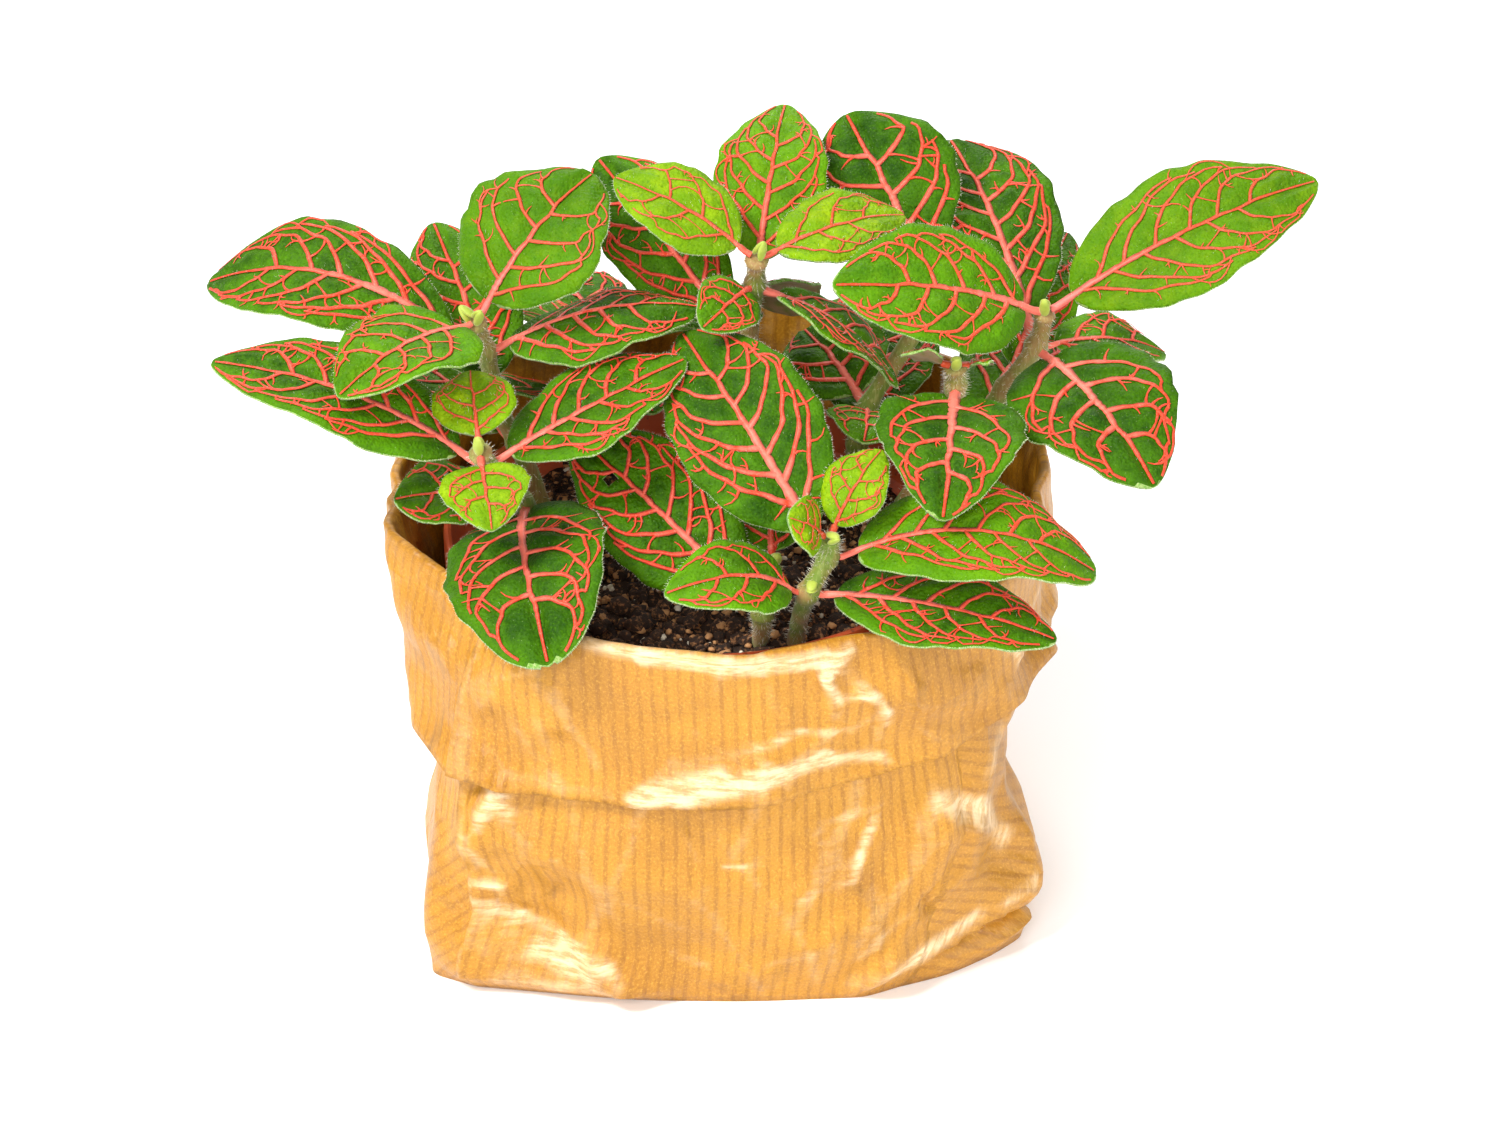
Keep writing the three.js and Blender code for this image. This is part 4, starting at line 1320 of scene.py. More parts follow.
@dataclass
class PaperBag:
    """The block-bottom kraft paper bag with its top turned out as a cuff.

    Each level lists the wall at the bag's creases, counter-clockwise from the front-left one: front at
    left, middle and right, the bulge of the right gusset, its corner, the right side, the back corners
    with the back between them, the left side and the left front corner.
    """

    thickness: float = 0.35
    levels: tuple[float, ...] = (0, 14, 28, 45, 62, 82)
    creases: tuple[Table, ...] = (
        ((-48, -51), (-16, -55.5), (6, -56), (29, -54.5), (45, -46.5), (59, -34), (58, 2), (54, 47),
         (20, 55), (-20, 55), (-54, 48), (-57.5, 2), (-57.5, -47)),
        ((-48.5, -51.5), (-16, -56), (8, -56.5), (35, -52), (47.5, -44), (60, -31), (59, 4), (54.5, 47.5),
         (20, 56), (-20, 56), (-54.5, 48), (-58.5, 2), (-57, -45.5)),
        ((-48.5, -50.5), (-16, -56), (9, -56.5), (43, -47.5), (49.5, -39), (55, -26), (56, 4), (54, 45),
         (21, 57), (-20, 56.5), (-53, 46), (-56.5, 2), (-55.5, -41)),
        ((-48.5, -46.5), (-16, -55.5), (9, -55.5), (43, -44), (50, -36), (55.5, -20), (58, 6), (53, 42),
         (22, 57), (-20, 57), (-52, 43), (-55.5, 2), (-55, -34)),
        ((-46.5, -41.5), (-17, -54.5), (8, -54.5), (37, -45.5), (49, -35), (57.5, -17), (60.5, 6), (52, 38),
         (22, 57), (-20, 57.5), (-51.5, 40), (-57.5, 2), (-56, -25)),
        ((-40, -36.5), (-17, -52.5), (7, -53.5), (30, -48.5), (47, -35), (58.5, -15), (63, 8), (51, 36),
         (22, 57), (-20, 57.5), (-51, 39), (-61.5, 4), (-61.5, -16)),
    )
    # At each crease: the heights of mouth and hem, how far the cuff flares, how sharp the crease is
    mouth: tuple[float, ...] = (81, 82, 81.5, 82, 84, 87, 89, 92, 96, 95, 90, 85, 84.5)
    hem: tuple[float, ...] = (49.5, 48, 49, 52.5, 57, 59, 58, 60, 64, 63, 57, 51, 50.5)
    flare: tuple[float, ...] = (1.0, 0.9, 0.9, 1.2, 2, 3, 5, 3.5, 3, 3, 2.6, 1.4, 1.2)
    sharp: tuple[float, ...] = (1, 0, 0, 0.85, 0.6, 0.95, 0.1, 0.8, 0, 0, 0.8, 0.1, 0.9)
    # Direction, pitch, depth and shift of the long dents
    waves: Table = (
        (0.28, 43, 2.6, 0.2), (1.12, 29, 2.3, 0.6), (2.05, 35, 2.6, 0.35), (2.7, 17, 1.5, 0.8),
        (1.5, 11, 0.6, 0.1), (0.7, 14, 1.0, 0.5),
    )
    # Each ridge, dent or painted highlight: its two ends, distance round and height, then its strength and
    # width
    wall_ridges: Table = (
        (0.9, 48, 0.6, 2, 0.5, 2), (12, 50, 5, 42, 1.5, 4), (5, 42, 2.5, 35, 1.3, 3),
        (0.5, 25, 6.5, 24.4, 0.9, 2), (2, 22, 18, 20.6, 0.8, 5), (18, 20.6, 26, 11, 1.5, 5),
        (26, 11, 31, 5.7, 1.9, 5), (31, 5.7, 38, 2, 1.2, 4), (4, 3, 29, 2, 3.0, 15),
        (5, 20, 15, 19, -3.8, 15),
        (79, 50, 79, 36, 0.8, 4), (79, 36, 75, 30, 1.3, 4), (75, 30, 73.5, 17, 0.9, 5),
        (93, 21, 90.5, 8, 1.6, 6), (90.5, 8, 88, 1.5, 1.5, 5), (97, 53, 98, 37, -1.3, 5),
        (98, 37, 92.5, 23, -1.2, 4), (92.6, 21.4, 95.6, 18.4, -2.4, 2), (98, 33, 112, 27, 1.2, 5),
        (112, 40, 118, 22, 1.2, 5), (100, 24, 113, 12, 0.9, 4),
    )
    cuff_ridges: Table = (
        (56, 55, 72, 62, 0.7, 2.6), (62, 53.5, 80, 58, 0.7, 2.4), (46, 53, 58, 58, 0.5, 2.4),
        (82.5, 81, 74, 74.5, 1.4, 3.4), (74, 74.5, 73.5, 67.5, 1.2, 3), (73.5, 67.5, 82, 70.7, 0.8, 2.6),
        (82, 70.7, 84, 66, 0.9, 2.4), (84, 66, 82.4, 60, 0.9, 2.4), (20, 70, 27, 56, 0.4, 3),
        (101, 80, 108, 66, 1.1, 4), (108, 66, 116, 72, 0.9, 3), (105, 62, 118, 60, 1.0, 3),
    )
    # Painted highlights on the wall and on the cuff: strokes of paler paper where folds and facets face the
    # light
    wall_highlights: Table = (
        (0, 20.5, 8, 17, 0.6, 2), (8, 17, 18, 14, 0.6, 2), (18, 14, 28, 10.5, 0.8, 2.4),
        (28, 10.5, 31, 6.5, 0.6, 2), (13, 11, 25, 7.5, 0.95, 3.6), (5, 17, 10, 8, 0.35, 5),
        (6, 4, 29, 4, 0.6, 2.5), (12, 51, 8.5, 46, 0.8, 2.5), (8.5, 46, 4, 38, 0.7, 1.8),
        (8, 47, 11, 43, 0.5, 2.5), (0.5, 25, 5, 24.4, 1, 1.5), (2, 36, 3, 30, 0.5, 1.6),
        (78.5, 40, 75.2, 33, 0.9, 1.7), (75.2, 33, 73.6, 28, 0.6, 1.5), (68, 41, 80, 43, 0.4, 1.5),
        (92, 41, 102, 35, 0.9, 3.5), (102, 35, 112, 24, 0.8, 3.5), (97, 37, 106, 34, 0.5, 5),
        (95, 7, 105, 12, 0.95, 3), (86, 4.5, 97, 8, 0.4, 4), (83, 11, 91, 20, 0.3, 2.5),
        (50, 33.6, 56, 34.4, 0.6, 1.2), (43, 40, 45, 35, 0.3, 1.2), (30, 27, 42, 19, 0.3, 1.5),
        (60, 9, 72, 13, 0.35, 1.6), (62, 25, 71, 28, 0.3, 1.3), (40, 12, 48, 9, 0.4, 1.5),
        (109, 48, 104, 42, 0.5, 3), (116, 14, 110, 13, 0.7, 2),
    )
    cuff_highlights: Table = (
        (24, 81.2, 37, 80.2, 0.8, 2.5), (37, 80.2, 59, 79, 1.2, 2.8), (59, 79, 76, 78.4, 1.2, 2.8),
        (34, 49.6, 43, 51, 1.2, 2.6), (43, 51, 59, 55.4, 1.3, 3.4), (36, 52, 50, 56, 0.7, 2.4),
        (59, 55.4, 70, 57, 1.1, 3), (70, 57, 82, 54.4, 0.8, 2.4), (42, 57, 56, 61, 0.3, 2.6),
        (57, 61.5, 66, 64, 0.5, 1.4), (66, 64, 77, 62, 0.5, 1.4), (77, 62, 84, 66, 0.4, 1.5),
        (83, 80, 76, 77.5, 0.8, 2), (76, 77.5, 73.6, 74.6, 0.7, 1.8), (73.6, 74.6, 75.5, 70, 0.6, 1.8),
        (75.5, 70, 83, 70.2, 0.5, 1.6), (77, 77, 81, 73, 0.35, 5), (84, 70, 85, 63, 0.5, 1.8),
        (100, 80, 108, 66, 0.5, 2.5), (108, 66, 116, 72, 0.4, 2.5), (11, 52, 30, 49.8, 0.3, 1.6),
    )
    # Columns from crease to crease, rows of wall and cuff, and how often the outline is smoothed
    per_crease: int = 28
    wall_rows: int = 60
    cuff_rows: int = 28
    smoothing: int = 60
    # Where the seam and the front's middle are, in creases, and how far under the mouth the wall ends
    seam: float = 8.5
    front: float = 1.5
    wall_end: float = 1.25
    # Where the pocket at the right foot starts and ends, as distances round the bag
    pocket: Pair = (97, 124)
    # The folded gusset: its height, the place of its last crease, its edge as heights and distances
    # round the bag, and the turn of the ribs on it
    gusset_top: float = 60
    gusset_end: float = 6.2
    gusset_edge: Table = ((0, 23, 37, 60), (43, 47, 53, 53))
    gusset_turn: float = 1.15
    # The fold at the left front corner: its height, where it starts, in creases, and the ribs' turn
    corner_top: float = 34
    corner_start: float = 11.4
    corner_turn: float = -0.75

    def __post_init__(self) -> None:
        """Smooths the outline at each level, except at sharp creases."""
        self.sides = len(self.mouth)
        self.count = self.sides * self.per_crease
        side = np.arange(self.count) / self.per_crease
        rings = np.array([self.around(np.array(level, float), side) for level in self.creases])
        hard = np.zeros(self.count)
        for crease, sharpness in enumerate(self.sharp):
            gap = np.abs((side - crease + self.sides / 2) % self.sides - self.sides / 2)
            hard = np.maximum(hard, sharpness * np.exp(-(gap / 0.09) ** 2))
        give = (1 - hard)[:, None] * 0.5
        for _ in range(self.smoothing):
            rings = rings + give * ((np.roll(rings, 1, 1) + np.roll(rings, -1, 1)) / 2 - rings)
        self.rings = rings
        run = np.linalg.norm(np.diff(rings[2], axis=0, append=rings[2][:1]), axis=1)
        self.walked = np.r_[0, np.cumsum(run)]

    def around(self, values: np.ndarray, side: np.ndarray) -> np.ndarray:
        """Reads values given at the creases at any place round the bag.

        Args:
            values: One row or number for each crease.
            side: Places round the bag, in creases.

        Returns:
            The value at each place.
        """
        low = np.floor(side).astype(int) % len(values)
        blend = side - np.floor(side)
        if values.ndim > 1:
            blend = blend[:, None]
        return values[low] * (1 - blend) + values[(low + 1) % len(values)] * blend

    def soft(self, values: tuple[float, ...], side: np.ndarray) -> np.ndarray:
        """Reads crease values with rounded changes between them."""
        shifts = np.linspace(-0.45, 0.45, 7)
        return np.mean([self.around(np.array(values, float), side + shift) for shift in shifts], axis=0)

    def outline(self, side: np.ndarray, z: np.ndarray) -> np.ndarray:
        """The wall's outside at a height.

        Args:
            side: Places round the bag, in creases.
            z: The height at each.

        Returns:
            Rows of x and y.
        """
        ring = side * self.per_crease
        low = np.floor(ring).astype(int) % self.count
        high = (low + 1) % self.count
        blend = (ring - np.floor(ring))[:, None]
        levels = np.array(self.levels)
        band = np.clip(np.searchsorted(levels, z) - 1, 0, len(levels) - 2)
        share = np.clip((z - levels[band]) / (levels[band + 1] - levels[band]), 0, 1.2)[:, None]
        share = np.where(share < 1, share * share * (3 - 2 * share) * 0.5 + share * 0.5, share)
        lower, upper = (self.rings[at, low] * (1 - blend) + self.rings[at, high] * blend
                        for at in (band, band + 1))
        return lower * (1 - share) + upper * share

    def crumple(self, across: float, up: float) -> float:
        """How far the paper stands out at a place, for its long dents.

        Args:
            across: Distance round the bag.
            up: Height.

        Returns:
            The distance outwards.
        """
        warp = noise.noise(Vector((across * 0.05, up * 0.05, 1.5))) * 4
        height = 0.5 * noise.noise(Vector((across * 0.035, up * 0.045, 6.0)))
        for turn, pitch, depth, shift in self.waves:
            along = (across * math.cos(turn) + up * math.sin(turn) + warp) / pitch + shift
            where = 0.35 + 1.6 * noise.noise(Vector((across * 0.024, up * 0.033, shift * 17)))
            height += depth * abs(along % 1 - 0.5) * 2 * min(max(where, 0), 1)
        return height * (0.25 + 0.75 * min(up / 10, 1))

    def ridged(self, ridges: Table, across: np.ndarray, up: np.ndarray) -> np.ndarray:
        """Adds up sharp ridges and dents, or painted highlights.

        Args:
            ridges: The rows of their table.
            across: Distances round the bag.
            up: The height at each.

        Returns:
            How strong they are at each place.
        """
        whole = self.walked[-1]
        place = np.c_[np.where(across > 0.75 * whole, across - whole, across), up]
        height = np.zeros(len(place))
        for x0, z0, x1, z1, tall, wide in ridges:
            start, run = np.array([x0, z0]), np.array([x1 - x0, z1 - z0])
            share = np.clip((place - start) @ run / (run @ run), 0, 1)
            gap = np.linalg.norm(place - start - share[:, None] * run, axis=1)
            height += tall * np.clip(1 - gap / wide, 0, 1)
        return height

    def pocketed(self, across: np.ndarray, z: np.ndarray) -> np.ndarray:
        """Shapes the folded pocket at the right foot, whose lips part over a narrow gap.

        Args:
            across: Distances round the bag.
            z: The height at each.

        Returns:
            How far the wall stands out for it.
        """
        start, end = self.pocket
        lip = np.clip((across - start) / 14, 0, 1) * np.clip((end - across) / 4, 0, 1)
        middle, half_gap = 4.2 + 3.4 * lip, 0.6 + 2.3 * lip
        gap = np.clip(1.5 * (1 - np.abs(z - middle) / half_gap), 0, 1)
        above = np.clip((z - middle) / half_gap, 0, 1) * np.clip((20 - z) / 10, 0, 1)
        below = np.clip((middle - z) / half_gap, 0, 1)
        return lip * (1.4 * above + 2.2 * below - 3.6 * gap)

    def rows(self) -> list[tuple[Stretch, float]]:
        """Lists the sheet's rows.

        Returns:
            For each row its stretch and how far along that stretch it is.
        """
        shares = {Stretch.FLOOR: (0, 0.25, 0.5, 0.75, 0.93, 0.985),
                  Stretch.WALL: (row / self.wall_rows for row in range(self.wall_rows)),
                  Stretch.FOLD: (turn / 6 for turn in range(7)),
                  Stretch.CUFF: ((row + 1) / self.cuff_rows for row in range(self.cuff_rows))}
        return [(stretch, share) for stretch, row in shares.items() for share in row]

    def plain(self, stretch: Stretch, share: float, side: np.ndarray) -> tuple[np.ndarray, np.ndarray]:
        """Gives one row of the sheet before it is creased.

        Args:
            stretch: Which stretch of the sheet the row is in.
            share: How far along that stretch it is.
            side: Places round the bag, in creases.

        Returns:
            How high each place is and how far it stands out.
        """
        top = self.soft(self.mouth, side) - self.wall_end
        inside = np.full(len(side), -0.5)
        if stretch is Stretch.WALL:
            foot = self.thickness + 0.01
            return foot + (top - foot) * share, inside
        if stretch is Stretch.FOLD:
            return top + 1.05 * math.sin(math.pi * share), inside + 1.1 * (1 - math.cos(math.pi * share))
        kick = share ** 2 * 0.25 + 0.75 * max((share - 0.8) / 0.2, 0) ** 1.15
        place = side % self.sides
        front = np.clip((place - 0.3) / 0.5, 0, 1) * np.clip((3 - place) / 0.5, 0, 1)
        loose = 0.9 * (1 - front) * (1 - math.exp(-share / 0.08))
        out = 1.7 + loose - 0.7 * front * share + self.soft(self.flare, side) * kick
        return top - (top - self.soft(self.hem, side)) * share, out

    def row_points(self, stretch: Stretch, share: float, side: np.ndarray) -> tuple[np.ndarray, ...]:
        """Places one row of the sheet.

        Args:
            stretch: Which stretch of the sheet the row is in.
            share: How far along that stretch it is.
            side: Places round the bag, in creases.

        Returns:
            Rows of x, y and z, how far round the sheet each is from the front's middle, how far up,
            and how much painted highlight the paper gets.
        """
        if stretch is Stretch.FLOOR:
            ring = self.outline(side, np.zeros(len(side))) * share * 0.992
            z = np.full(len(side), self.thickness + 0.01)
            return np.c_[ring, z], ring[:, 0], ring[:, 1] - 50, np.zeros(len(side))
        z, out = self.plain(stretch, share, side)
        ring = self.outline(side, z)
        run = np.linalg.norm(np.diff(ring, axis=0, prepend=ring[:1]), axis=1).cumsum()
        run = run - np.interp(self.sides + self.front, side, run)
        walked = np.interp(side % self.sides, np.arange(self.count + 1) / self.per_crease, self.walked)
        dents = np.array([self.crumple(*place) for place in zip(walked, z)])
        if stretch is Stretch.CUFF:
            hem_dent = np.array([0.8 * noise.noise(Vector((w * 0.06, 0, 3))) for w in walked])
            dents = dents + (hem_dent + 0.3) * share ** 2
            dents = dents + np.maximum(self.ridged(self.cuff_ridges, walked, z), 0)
        dents = np.maximum(dents - 0.1, -0.1)
        # Painted highlight: lighter on the crests of the dents and along the listed strokes
        table = self.wall_highlights if stretch is Stretch.WALL else self.cuff_highlights
        painted_highlight = np.clip(2 * (dents - (np.roll(dents, 2) + np.roll(dents, -2)) / 2), 0, 0.3)
        painted_highlight += np.clip(self.ridged(table, walked, z), 0, 1)
        dents = dents + self.ridged(self.wall_ridges, walked, z) * np.clip((60 - z) / 10, 0, 1)
        out = out + dents * np.clip(z / 4, 0, 1)
        if stretch is Stretch.WALL:
            out = out + self.pocketed(walked, z)
        away = np.linalg.norm(ring, axis=1, keepdims=True)
        ring = ring * (away + out[:, None]) / away
        up = 2 * self.soft(self.mouth, side) - z if stretch is Stretch.CUFF else z
        return np.c_[ring, z], run, up, np.clip(painted_highlight, 0, 1)

    def rib_place(self, across: float, up: float, side: float, height: float) -> Pair:
        """Places a corner on the ribbed sheet, whose ribs run askew on the gusset and the corner fold.

        Args:
            across: Distance round the bag.
            up: Distance up the sheet.
            side: Place of the face round the bag, in creases.
            height: How far up the sheet the face is.

        Returns:
            The place on the sheet, in tens of millimetres.
        """
        angle = 0.0
        on_gusset = side < self.gusset_end and height < self.gusset_top
        if on_gusset and across > np.interp(height, *self.gusset_edge):
            angle = self.gusset_turn
        elif side > self.corner_start and height < self.corner_top:
            angle = self.corner_turn
        turned = Matrix.Rotation(-angle, 2) @ Vector((across, up))
        return turned.x / 10, turned.y / 10

    def build(self, palette: "Palette") -> None:
        """Makes the bag and lets it stand for its solid.

        Args:
            palette: The finishes.
        """
        rows = self.rows()
        columns = self.count + 1
        form = bmesh.new()
        bmesh.ops.create_grid(form, x_segments=self.count, y_segments=len(rows) - 1, size=0.5)
        side = np.round(coordinates(form)[:columns, 0] + 0.5, 6) * self.sides + self.seam
        placed = [self.row_points(stretch, share, side) for stretch, share in rows]
        sheet = form.verts.layers.float_vector.new("sheet")
        # Each vertex keeps its share of painted highlight for the paper's colour
        highlight_at = form.verts.layers.float.new("painted_highlight")
        for index, vertex in enumerate(form.verts):
            row, column = divmod(index, columns)
            places, run, up, painted_highlight = placed[row]
            vertex.co = places[column]
            vertex[highlight_at] = painted_highlight[column]
            vertex[sheet] = (run[column], up[column], side[column])
        uv = form.loops.layers.uv.new("sheet")
        for face in form.faces:
            middle = sum((vertex[sheet] for vertex in face.verts), Vector((0, 0, 0))) / 4
            for loop in face.loops:
                across, up, _ = loop.vert[sheet]
                loop[uv].uv = self.rib_place(across, up, middle.z % self.sides, middle.y)
        bmesh.ops.remove_doubles(form, verts=form.verts[:], dist=0.002)
        bmesh.ops.recalc_face_normals(form, faces=form.faces[:])
        bmesh.ops.solidify(form, geom=form.faces[:], thickness=self.thickness)
        hand_over(linked("bag_sheet", form, [palette.kraft]), "paper_bag")


class Palette:
    """The materials, each made once and shared by the pieces that wear it."""

    def __init__(self) -> None:
        """Makes every finish."""
        stem = StemFinish()
        soil = SoilFinish()
        down = stem.down()
        self.stem = [stem.skin(), stem.bud(), down]
        self.pot = PlasticFinish().make()
        self.soil = [soil.ground(), soil.grain(), soil.bark()]
        self.kraft = KraftFinish().make()
        self.leaves = {}
        for tone, finish in LEAF_FINISHES.items():
            vein = VEIN_FINISHES[tone].make()
            self.leaves[tone] = [finish.upper(), finish.under(), finish.margin(), vein, down]


@dataclass(frozen=True)
class Light:
    """One soft square light that points at the part's middle; places in metres, power in watts."""

    name: str
    place: Point
    aim_z: float
    size: float
    power: float

    def hang(self) -> None:
        """Hangs the light."""
        lamp = bpy.data.lights.new(self.name, "AREA")
        lamp.size = self.size
        lamp.energy = self.power
        holder = bpy.data.objects.new(self.name, lamp)
        holder.location = self.place
        aim = Vector((0, 0, self.aim_z)) - Vector(self.place)
        holder.rotation_euler = aim.to_track_quat("-Z", "Y").to_euler()
        bpy.context.scene.collection.objects.link(holder)


@dataclass(frozen=True)
class Studio:
    """A plain pale floor, soft lights and the camera at the photograph's angle."""

    # What the camera looks at, from how far off and from how many degrees above the level
    camera_aim: Point = (0.006, -0.008, 0.072)
    camera_away: float = 0.7
    camera_rise: float = 31.0
    lens: float = 85.0
    sensor: float = 36.0
    clip: Pair = (0.02, 20)
    floor_half: float = 3000.0
    world_strength: float = 0.45
    lights: tuple[Light, ...] = (
        Light("key", (-0.7, -0.4, 1.15), 0.06, 0.35, 20),
        Light("front", (-0.3, -1.15, 0.66), 0.06, 0.8, 11),
        Light("fill", (1.05, -0.65, 0.5), 0.05, 0.6, 7),
        Light("back", (0.1, 1.0, 1.0), 0.08, 0.9, 12),
    )

    def floor(self) -> None:
        """Lays the floor."""
        form = bmesh.new()
        bmesh.ops.create_grid(form, x_segments=2, y_segments=2, size=self.floor_half)
        recipe = Recipe("floor_white")
        white = recipe.mix(recipe.cloud(recipe.place(), 3, 2), tint(250, 250, 250), tint(253, 253, 253))
        linked("floor", form, [recipe.done(white, 0.8)], smooth=False)

    def camera(self) -> None:
        """Sets the camera at the photograph's angle."""
        lens = bpy.data.cameras.new("camera")
        lens.lens = self.lens
        lens.sensor_width = self.sensor
        lens.clip_start, lens.clip_end = self.clip
        camera = bpy.data.objects.new("camera", lens)
        rise = math.radians(self.camera_rise)
        to_camera = Vector((0, -math.cos(rise), math.sin(rise))) * self.camera_away
        camera.location = Vector(self.camera_aim) + to_camera
        camera.rotation_euler = (math.pi / 2 - rise, 0, 0)
        bpy.context.scene.collection.objects.link(camera)
        bpy.context.scene.camera = camera

    def build(self) -> None:
        """Sets the stage."""
        self.floor()
        for light in self.lights:
            light.hang()
        world = bpy.data.worlds.new("studio")
        world.use_nodes = True
        background = world.node_tree.nodes["Background"].inputs
        background["Color"].default_value = (1, 1, 1, 1)
        background["Strength"].default_value = self.world_strength
        bpy.context.scene.world = world
        self.camera()
        bpy.context.scene.view_settings.view_transform = "Standard"


# Name, path from the soil up, leaf nodes, buds
STEMS = (
    Stem("left",
         ((-31, 8, 56), (-37, 6, 82), (-43, 0, 103), (-45, -2, 116), (-46.4, -6, 124.3)),
         ((-40, 3, 92.5), (-43, 0, 103), (-45, -2, 116), (-46.4, -6, 124.3)),
         ((-45.6, -7.4, 126.4), (-48.3, -5.4, 126.2))),
    Stem("left_front",
         ((-28, -8, 56), (-33, -8, 74), (-38, -12, 88), (-42, -22, 98), (-43.5, -27, 104.6),
          (-44.5, -30, 109.3)),
         ((-38, -12, 88), (-43.5, -27, 104.6), (-44.5, -30, 109.3)),
         ((-44.6, -31.2, 112),)),
    Stem("middle",
         ((0, 6, 56), (3, 7, 90), (5.5, 6, 112), (7, 3, 128), (7.3, 0, 134.8)),
         ((5.5, 6, 112), (7, 3, 128), (7.3, 0, 134.8)),
         ((8.2, -1, 137.6),)),
    Stem("right",
         ((34, 8, 56), (44, 6, 85), (56, 5, 104), (61.6, 4, 114), (62.9, 2, 122.3)),
         ((50, 5.5, 94.5), (56, 5, 104), (61.6, 4, 114), (62.9, 2, 122.3)),
         ((62.6, 0.4, 124.8),)),
    Stem("front",
         ((14, -30, 56), (15, -34, 72), (17, -42, 86), (20.5, -42, 93.8), (20.5, -42.5, 98)),
         ((17, -42, 86), (20.5, -42, 93.8), (20.5, -42.5, 98)),
         ((21.6, -44.6, 99.2), (17.5, -44.4, 88.4))),
    Stem("front_small",
         ((6, -26, 56), (8.3, -36, 74), (8.4, -37, 78), (10.2, -31, 85.9)),
         ((8.4, -37, 78), (10.2, -31, 85.9)),
         ((11, -32.6, 87.8),)),
    Stem("right_front",
         ((30, -8, 56), (36, -10, 85), (43, -13, 106), (45.1, -14, 114.9), (44.8, -15, 119.5)),
         ((36.5, -10, 87), (45.1, -14, 114.9), (44.8, -15, 119.5)),
         ((44.9, -16.6, 121.4),)),
    Stem("back_right",
         ((22, 20, 56), (27.5, 15, 86), (29.4, 12, 96), (39, 14, 113), (42, 15, 121)),
         ((27.5, 15, 86), (29.4, 12, 96), (42, 15, 121)),
         ((42, 13.4, 123.2),)),
    Stem("back_left",
         ((-16, 24, 56), (-19, 29, 76), (-21, 33, 90), (-22, 34, 97)),
         ((-20, 31, 83), (-21.5, 33.5, 93), (-22, 34, 98)),
         ((-22.2, 32.4, 100.2),)),
)

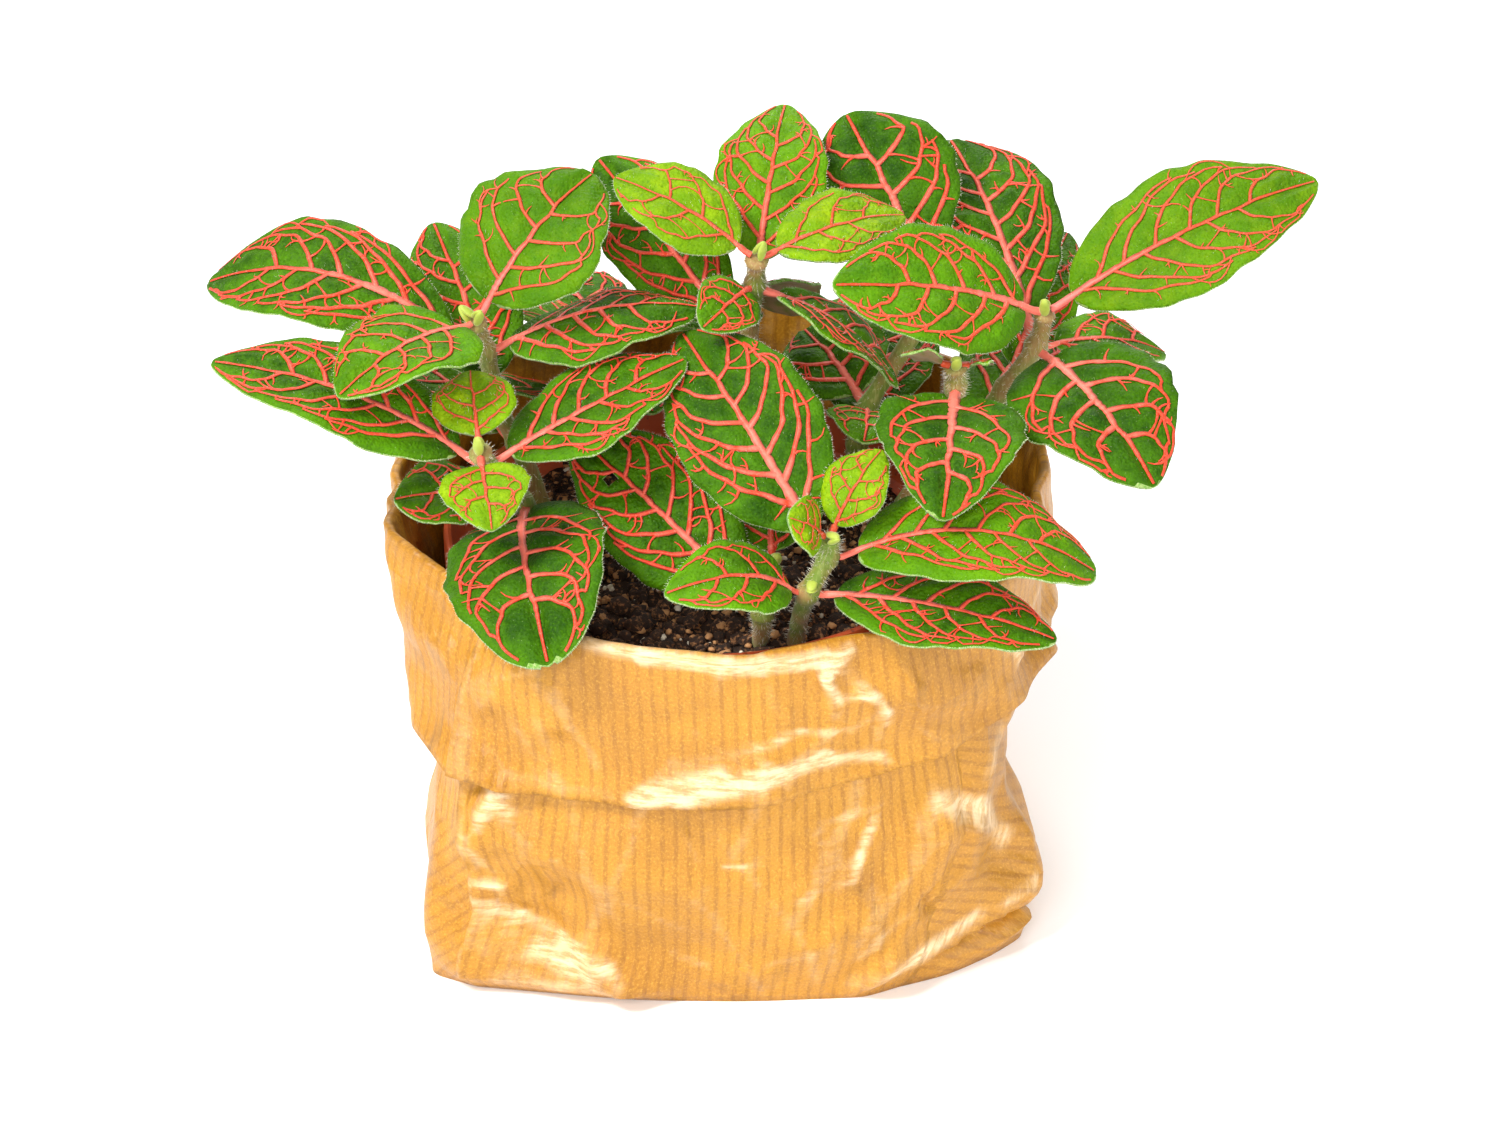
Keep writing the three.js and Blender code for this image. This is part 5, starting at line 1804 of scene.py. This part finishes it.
# Name, where it grows from, where its tip is, which way its upper side faces, width; dark where no
# tone is given
LEAVES = (
    Leaf("left_low_left", (-45, -2, 116), (-100, 13, 123), (-0.2, -0.4, 0.9), 25, lift=0.24, full=1.05),
    Leaf("left_low_right", (-45, -2, 116), (-3.5, -1, 124.9), (0.1, -0.05, 1), 24, fold=-0.2, curl=0.08),
    Leaf("left_top_right", (-46.4, -6, 124.3), (-24, 14, 146), (-0.3, -0.6, 0.7), 31, Tone.YOUNG,
         blunt=0.58),
    Leaf("left_top_left", (-46.4, -6, 124.3), (-70, -32, 122), (-0.2, -0.3, 0.9), 26, Tone.MID, full=0.62),
    Leaf("left_back", (-43, 0, 103), (-57, 30, 128), (0.1, -0.5, 0.8), 22, reach=3.2),
    Leaf("left_front_left", (-43.5, -27, 104.6), (-95, -20, 123), (-0.2, -0.2, 0.95), 23, reach=2.9),
    Leaf("left_front_right", (-43.5, -27, 104.6), (-6, -14, 120.5), (-0.15, -0.25, 0.93), 23, lift=0.02),
    Leaf("left_front_up", (-44.5, -30, 109.3), (-47, -14, 118), (0, -0.5, 0.8), 16, Tone.YOUNG),
    Leaf("left_front_down", (-44.5, -30, 109.3), (-41.5, -46, 101.6), (0, -0.6, 0.8), 17, Tone.YOUNG,
         full=0.66),
    Leaf("left_front_small", (-38, -12, 88), (-62.5, -18, 92), (-0.2, -0.3, 0.9), 18, full=1.15, reach=3.3),
    Leaf("left_front_drape", (-38, -12, 88), (-31, -60, 81), (-0.25, -0.3, 0.9), 32, lift=0.14,
         blunt=0.5, reach=2.8),
    Leaf("middle_young_left", (7.3, 0, 134.8), (-20, 10, 147), (0.1, -0.5, 0.85), 18, Tone.YOUNG),
    Leaf("middle_young_right", (7.3, 0, 134.8), (36, 12, 138), (0, -0.4, 0.9), 17, Tone.YOUNG),
    Leaf("middle_up", (7, 3, 128), (13, 40, 149), (0, -0.34, 0.94), 22, Tone.MID),
    Leaf("middle_back_left", (5.5, 6, 112), (-24, 31, 141.5), (-0.2, -0.55, 0.75), 22, full=1.1, reach=3.0),
    Leaf("middle_front", (7, 3, 128), (-3, -14, 127), (0.3, -0.5, 0.8), 13),
    Leaf("middle_back_hang", (7, 3, 128), (15, 29, 108), (0, 0.7, 0.75), 16, Tone.MID, full=1.2, reach=3.9),
    Leaf("middle_right_low", (7, 3, 128), (35, 0, 107), (0.6, 0.05, 0.75), 20, reach=2.9),
    Leaf("right_top_right", (62.9, 2, 122.3), (115.5, 15, 144), (-0.15, -0.6, 0.75), 26, Tone.YOUNG),
    Leaf("right_top_left", (62.9, 2, 122.3), (21.4, -12, 135), (0, -0.6, 0.8), 27, Tone.MID),
    Leaf("right_low_front", (61.6, 4, 114), (82.4, -28, 100.6), (0.2, -0.6, 0.75), 33, full=0.68),
    Leaf("right_low_back", (61.6, 4, 114), (88, 12, 108), (0.1, -0.1, 1), 18),
    Leaf("right_up_back", (61.6, 4, 114), (46.5, 52, 136), (0.1, -0.5, 0.8), 28, full=1.05),
    Leaf("right_back", (56, 5, 104), (70, 38, 122), (0.1, -0.3, 0.9), 16, reach=3.3),
    Leaf("right_back_low", (50, 5.5, 94.5), (72, 48, 98), (0.2, 0.3, 0.9), 24),
    Leaf("middle_back_low", (5.5, 6, 112), (-10, 40, 106), (0, 0.3, 0.95), 20),
    Leaf("left_back_low", (-40, 3, 92.5), (-66, 26, 100), (-0.2, 0.1, 0.95), 20),
    Leaf("right_front_front", (45.1, -14, 114.9), (41.3, -48, 105), (0, -0.4, 0.9), 28, full=0.6),
    Leaf("right_front_young_left", (44.8, -15, 119.5), (34.5, -17, 123), (0, 0.5, 0.7), 10, Tone.YOUNG),
    Leaf("right_front_young_right", (44.8, -15, 119.5), (52, -13, 119), (0, 0.4, 0.8), 9, Tone.YOUNG),
    Leaf("right_front_low", (36.5, -10, 87), (55, 0, 93), (0, -0.3, 0.9), 12, reach=2.9),
    Leaf("front_young_up", (20.5, -42.5, 98), (30.6, -33, 111.5), (-0.3, -0.6, 0.6), 13, Tone.YOUNG,
         reach=1.8),
    Leaf("front_young_low", (20.5, -42.5, 98), (13, -48, 105.5), (-0.1, -0.6, 0.8), 12, Tone.YOUNG,
         reach=2.0),
    Leaf("front_left_up", (20.5, -42, 93.8), (-7, -4, 121), (0, -0.8, 0.6), 28, lift=0.15, reach=3.0),
    Leaf("front_right", (20.5, -42, 93.8), (70.8, -42, 90), (0, -0.3, 0.95), 24, Tone.MID, lift=0.2,
         blunt=0.52),
    Leaf("front_right_low", (17, -42, 86), (62.6, -56, 84), (0, -0.2, 0.95), 22, lift=0.06),
    Leaf("front_left_low", (17, -42, 86), (-9.8, -52, 91.5), (0, -0.4, 0.9), 17, lift=0.2),
    Leaf("front_small_left", (8.4, -37, 78), (-28, -9, 102), (-0.1, -0.7, 0.7), 25,
         hole=(35.5, 2.2, 1.7), reach=3.2),
    Leaf("front_small_up", (10.2, -31, 85.9), (9.5, -14, 93), (0, -0.6, 0.75), 17, reach=1.4),
    Leaf("back_right_low", (29.4, 12, 96), (17, 34, 102), (-0.1, -0.4, 0.9), 24),
    Leaf("back_right_front", (29.4, 12, 96), (28, -8, 99), (0.1, -0.3, 0.9), 16),
    Leaf("back_right_left", (42, 15, 121), (25, 40, 147), (-0.1, -0.5, 0.8), 30, full=1.05, reach=2.1),
    Leaf("back_left_left", (-22, 34, 98), (-54, 38, 106), (-0.2, 0.2, 0.9), 22, Tone.MID, reach=1.7),
    Leaf("back_left_right", (-22, 34, 98), (2, 53, 99), (0.1, 0.3, 0.9), 18, lift=0.05),
    Leaf("back_left_front", (-21.5, 33.5, 93), (-13, 2, 100), (0, -0.2, 0.95), 20),
    Leaf("back_left_back", (-21.5, 33.5, 93), (-40, 74, 93), (0, 0.3, 0.95), 24, lift=0.16),
    Leaf("back_left_low", (-20, 31, 83), (-58, 24, 92), (-0.2, 0.2, 0.95), 22),
    Leaf("back_right_back", (27.5, 15, 86), (36, 64, 98), (0.1, 0.3, 0.95), 26),
)


def main() -> None:
    """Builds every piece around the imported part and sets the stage."""
    logging.basicConfig(level=logging.INFO, format="%(name)s: %(message)s")
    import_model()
    palette = Palette()
    for piece in (PaperBag(), Pot(), Soil(), *STEMS, *LEAVES):
        piece.build(palette)
    Studio().build()


if __name__ == "__main__":
    main()
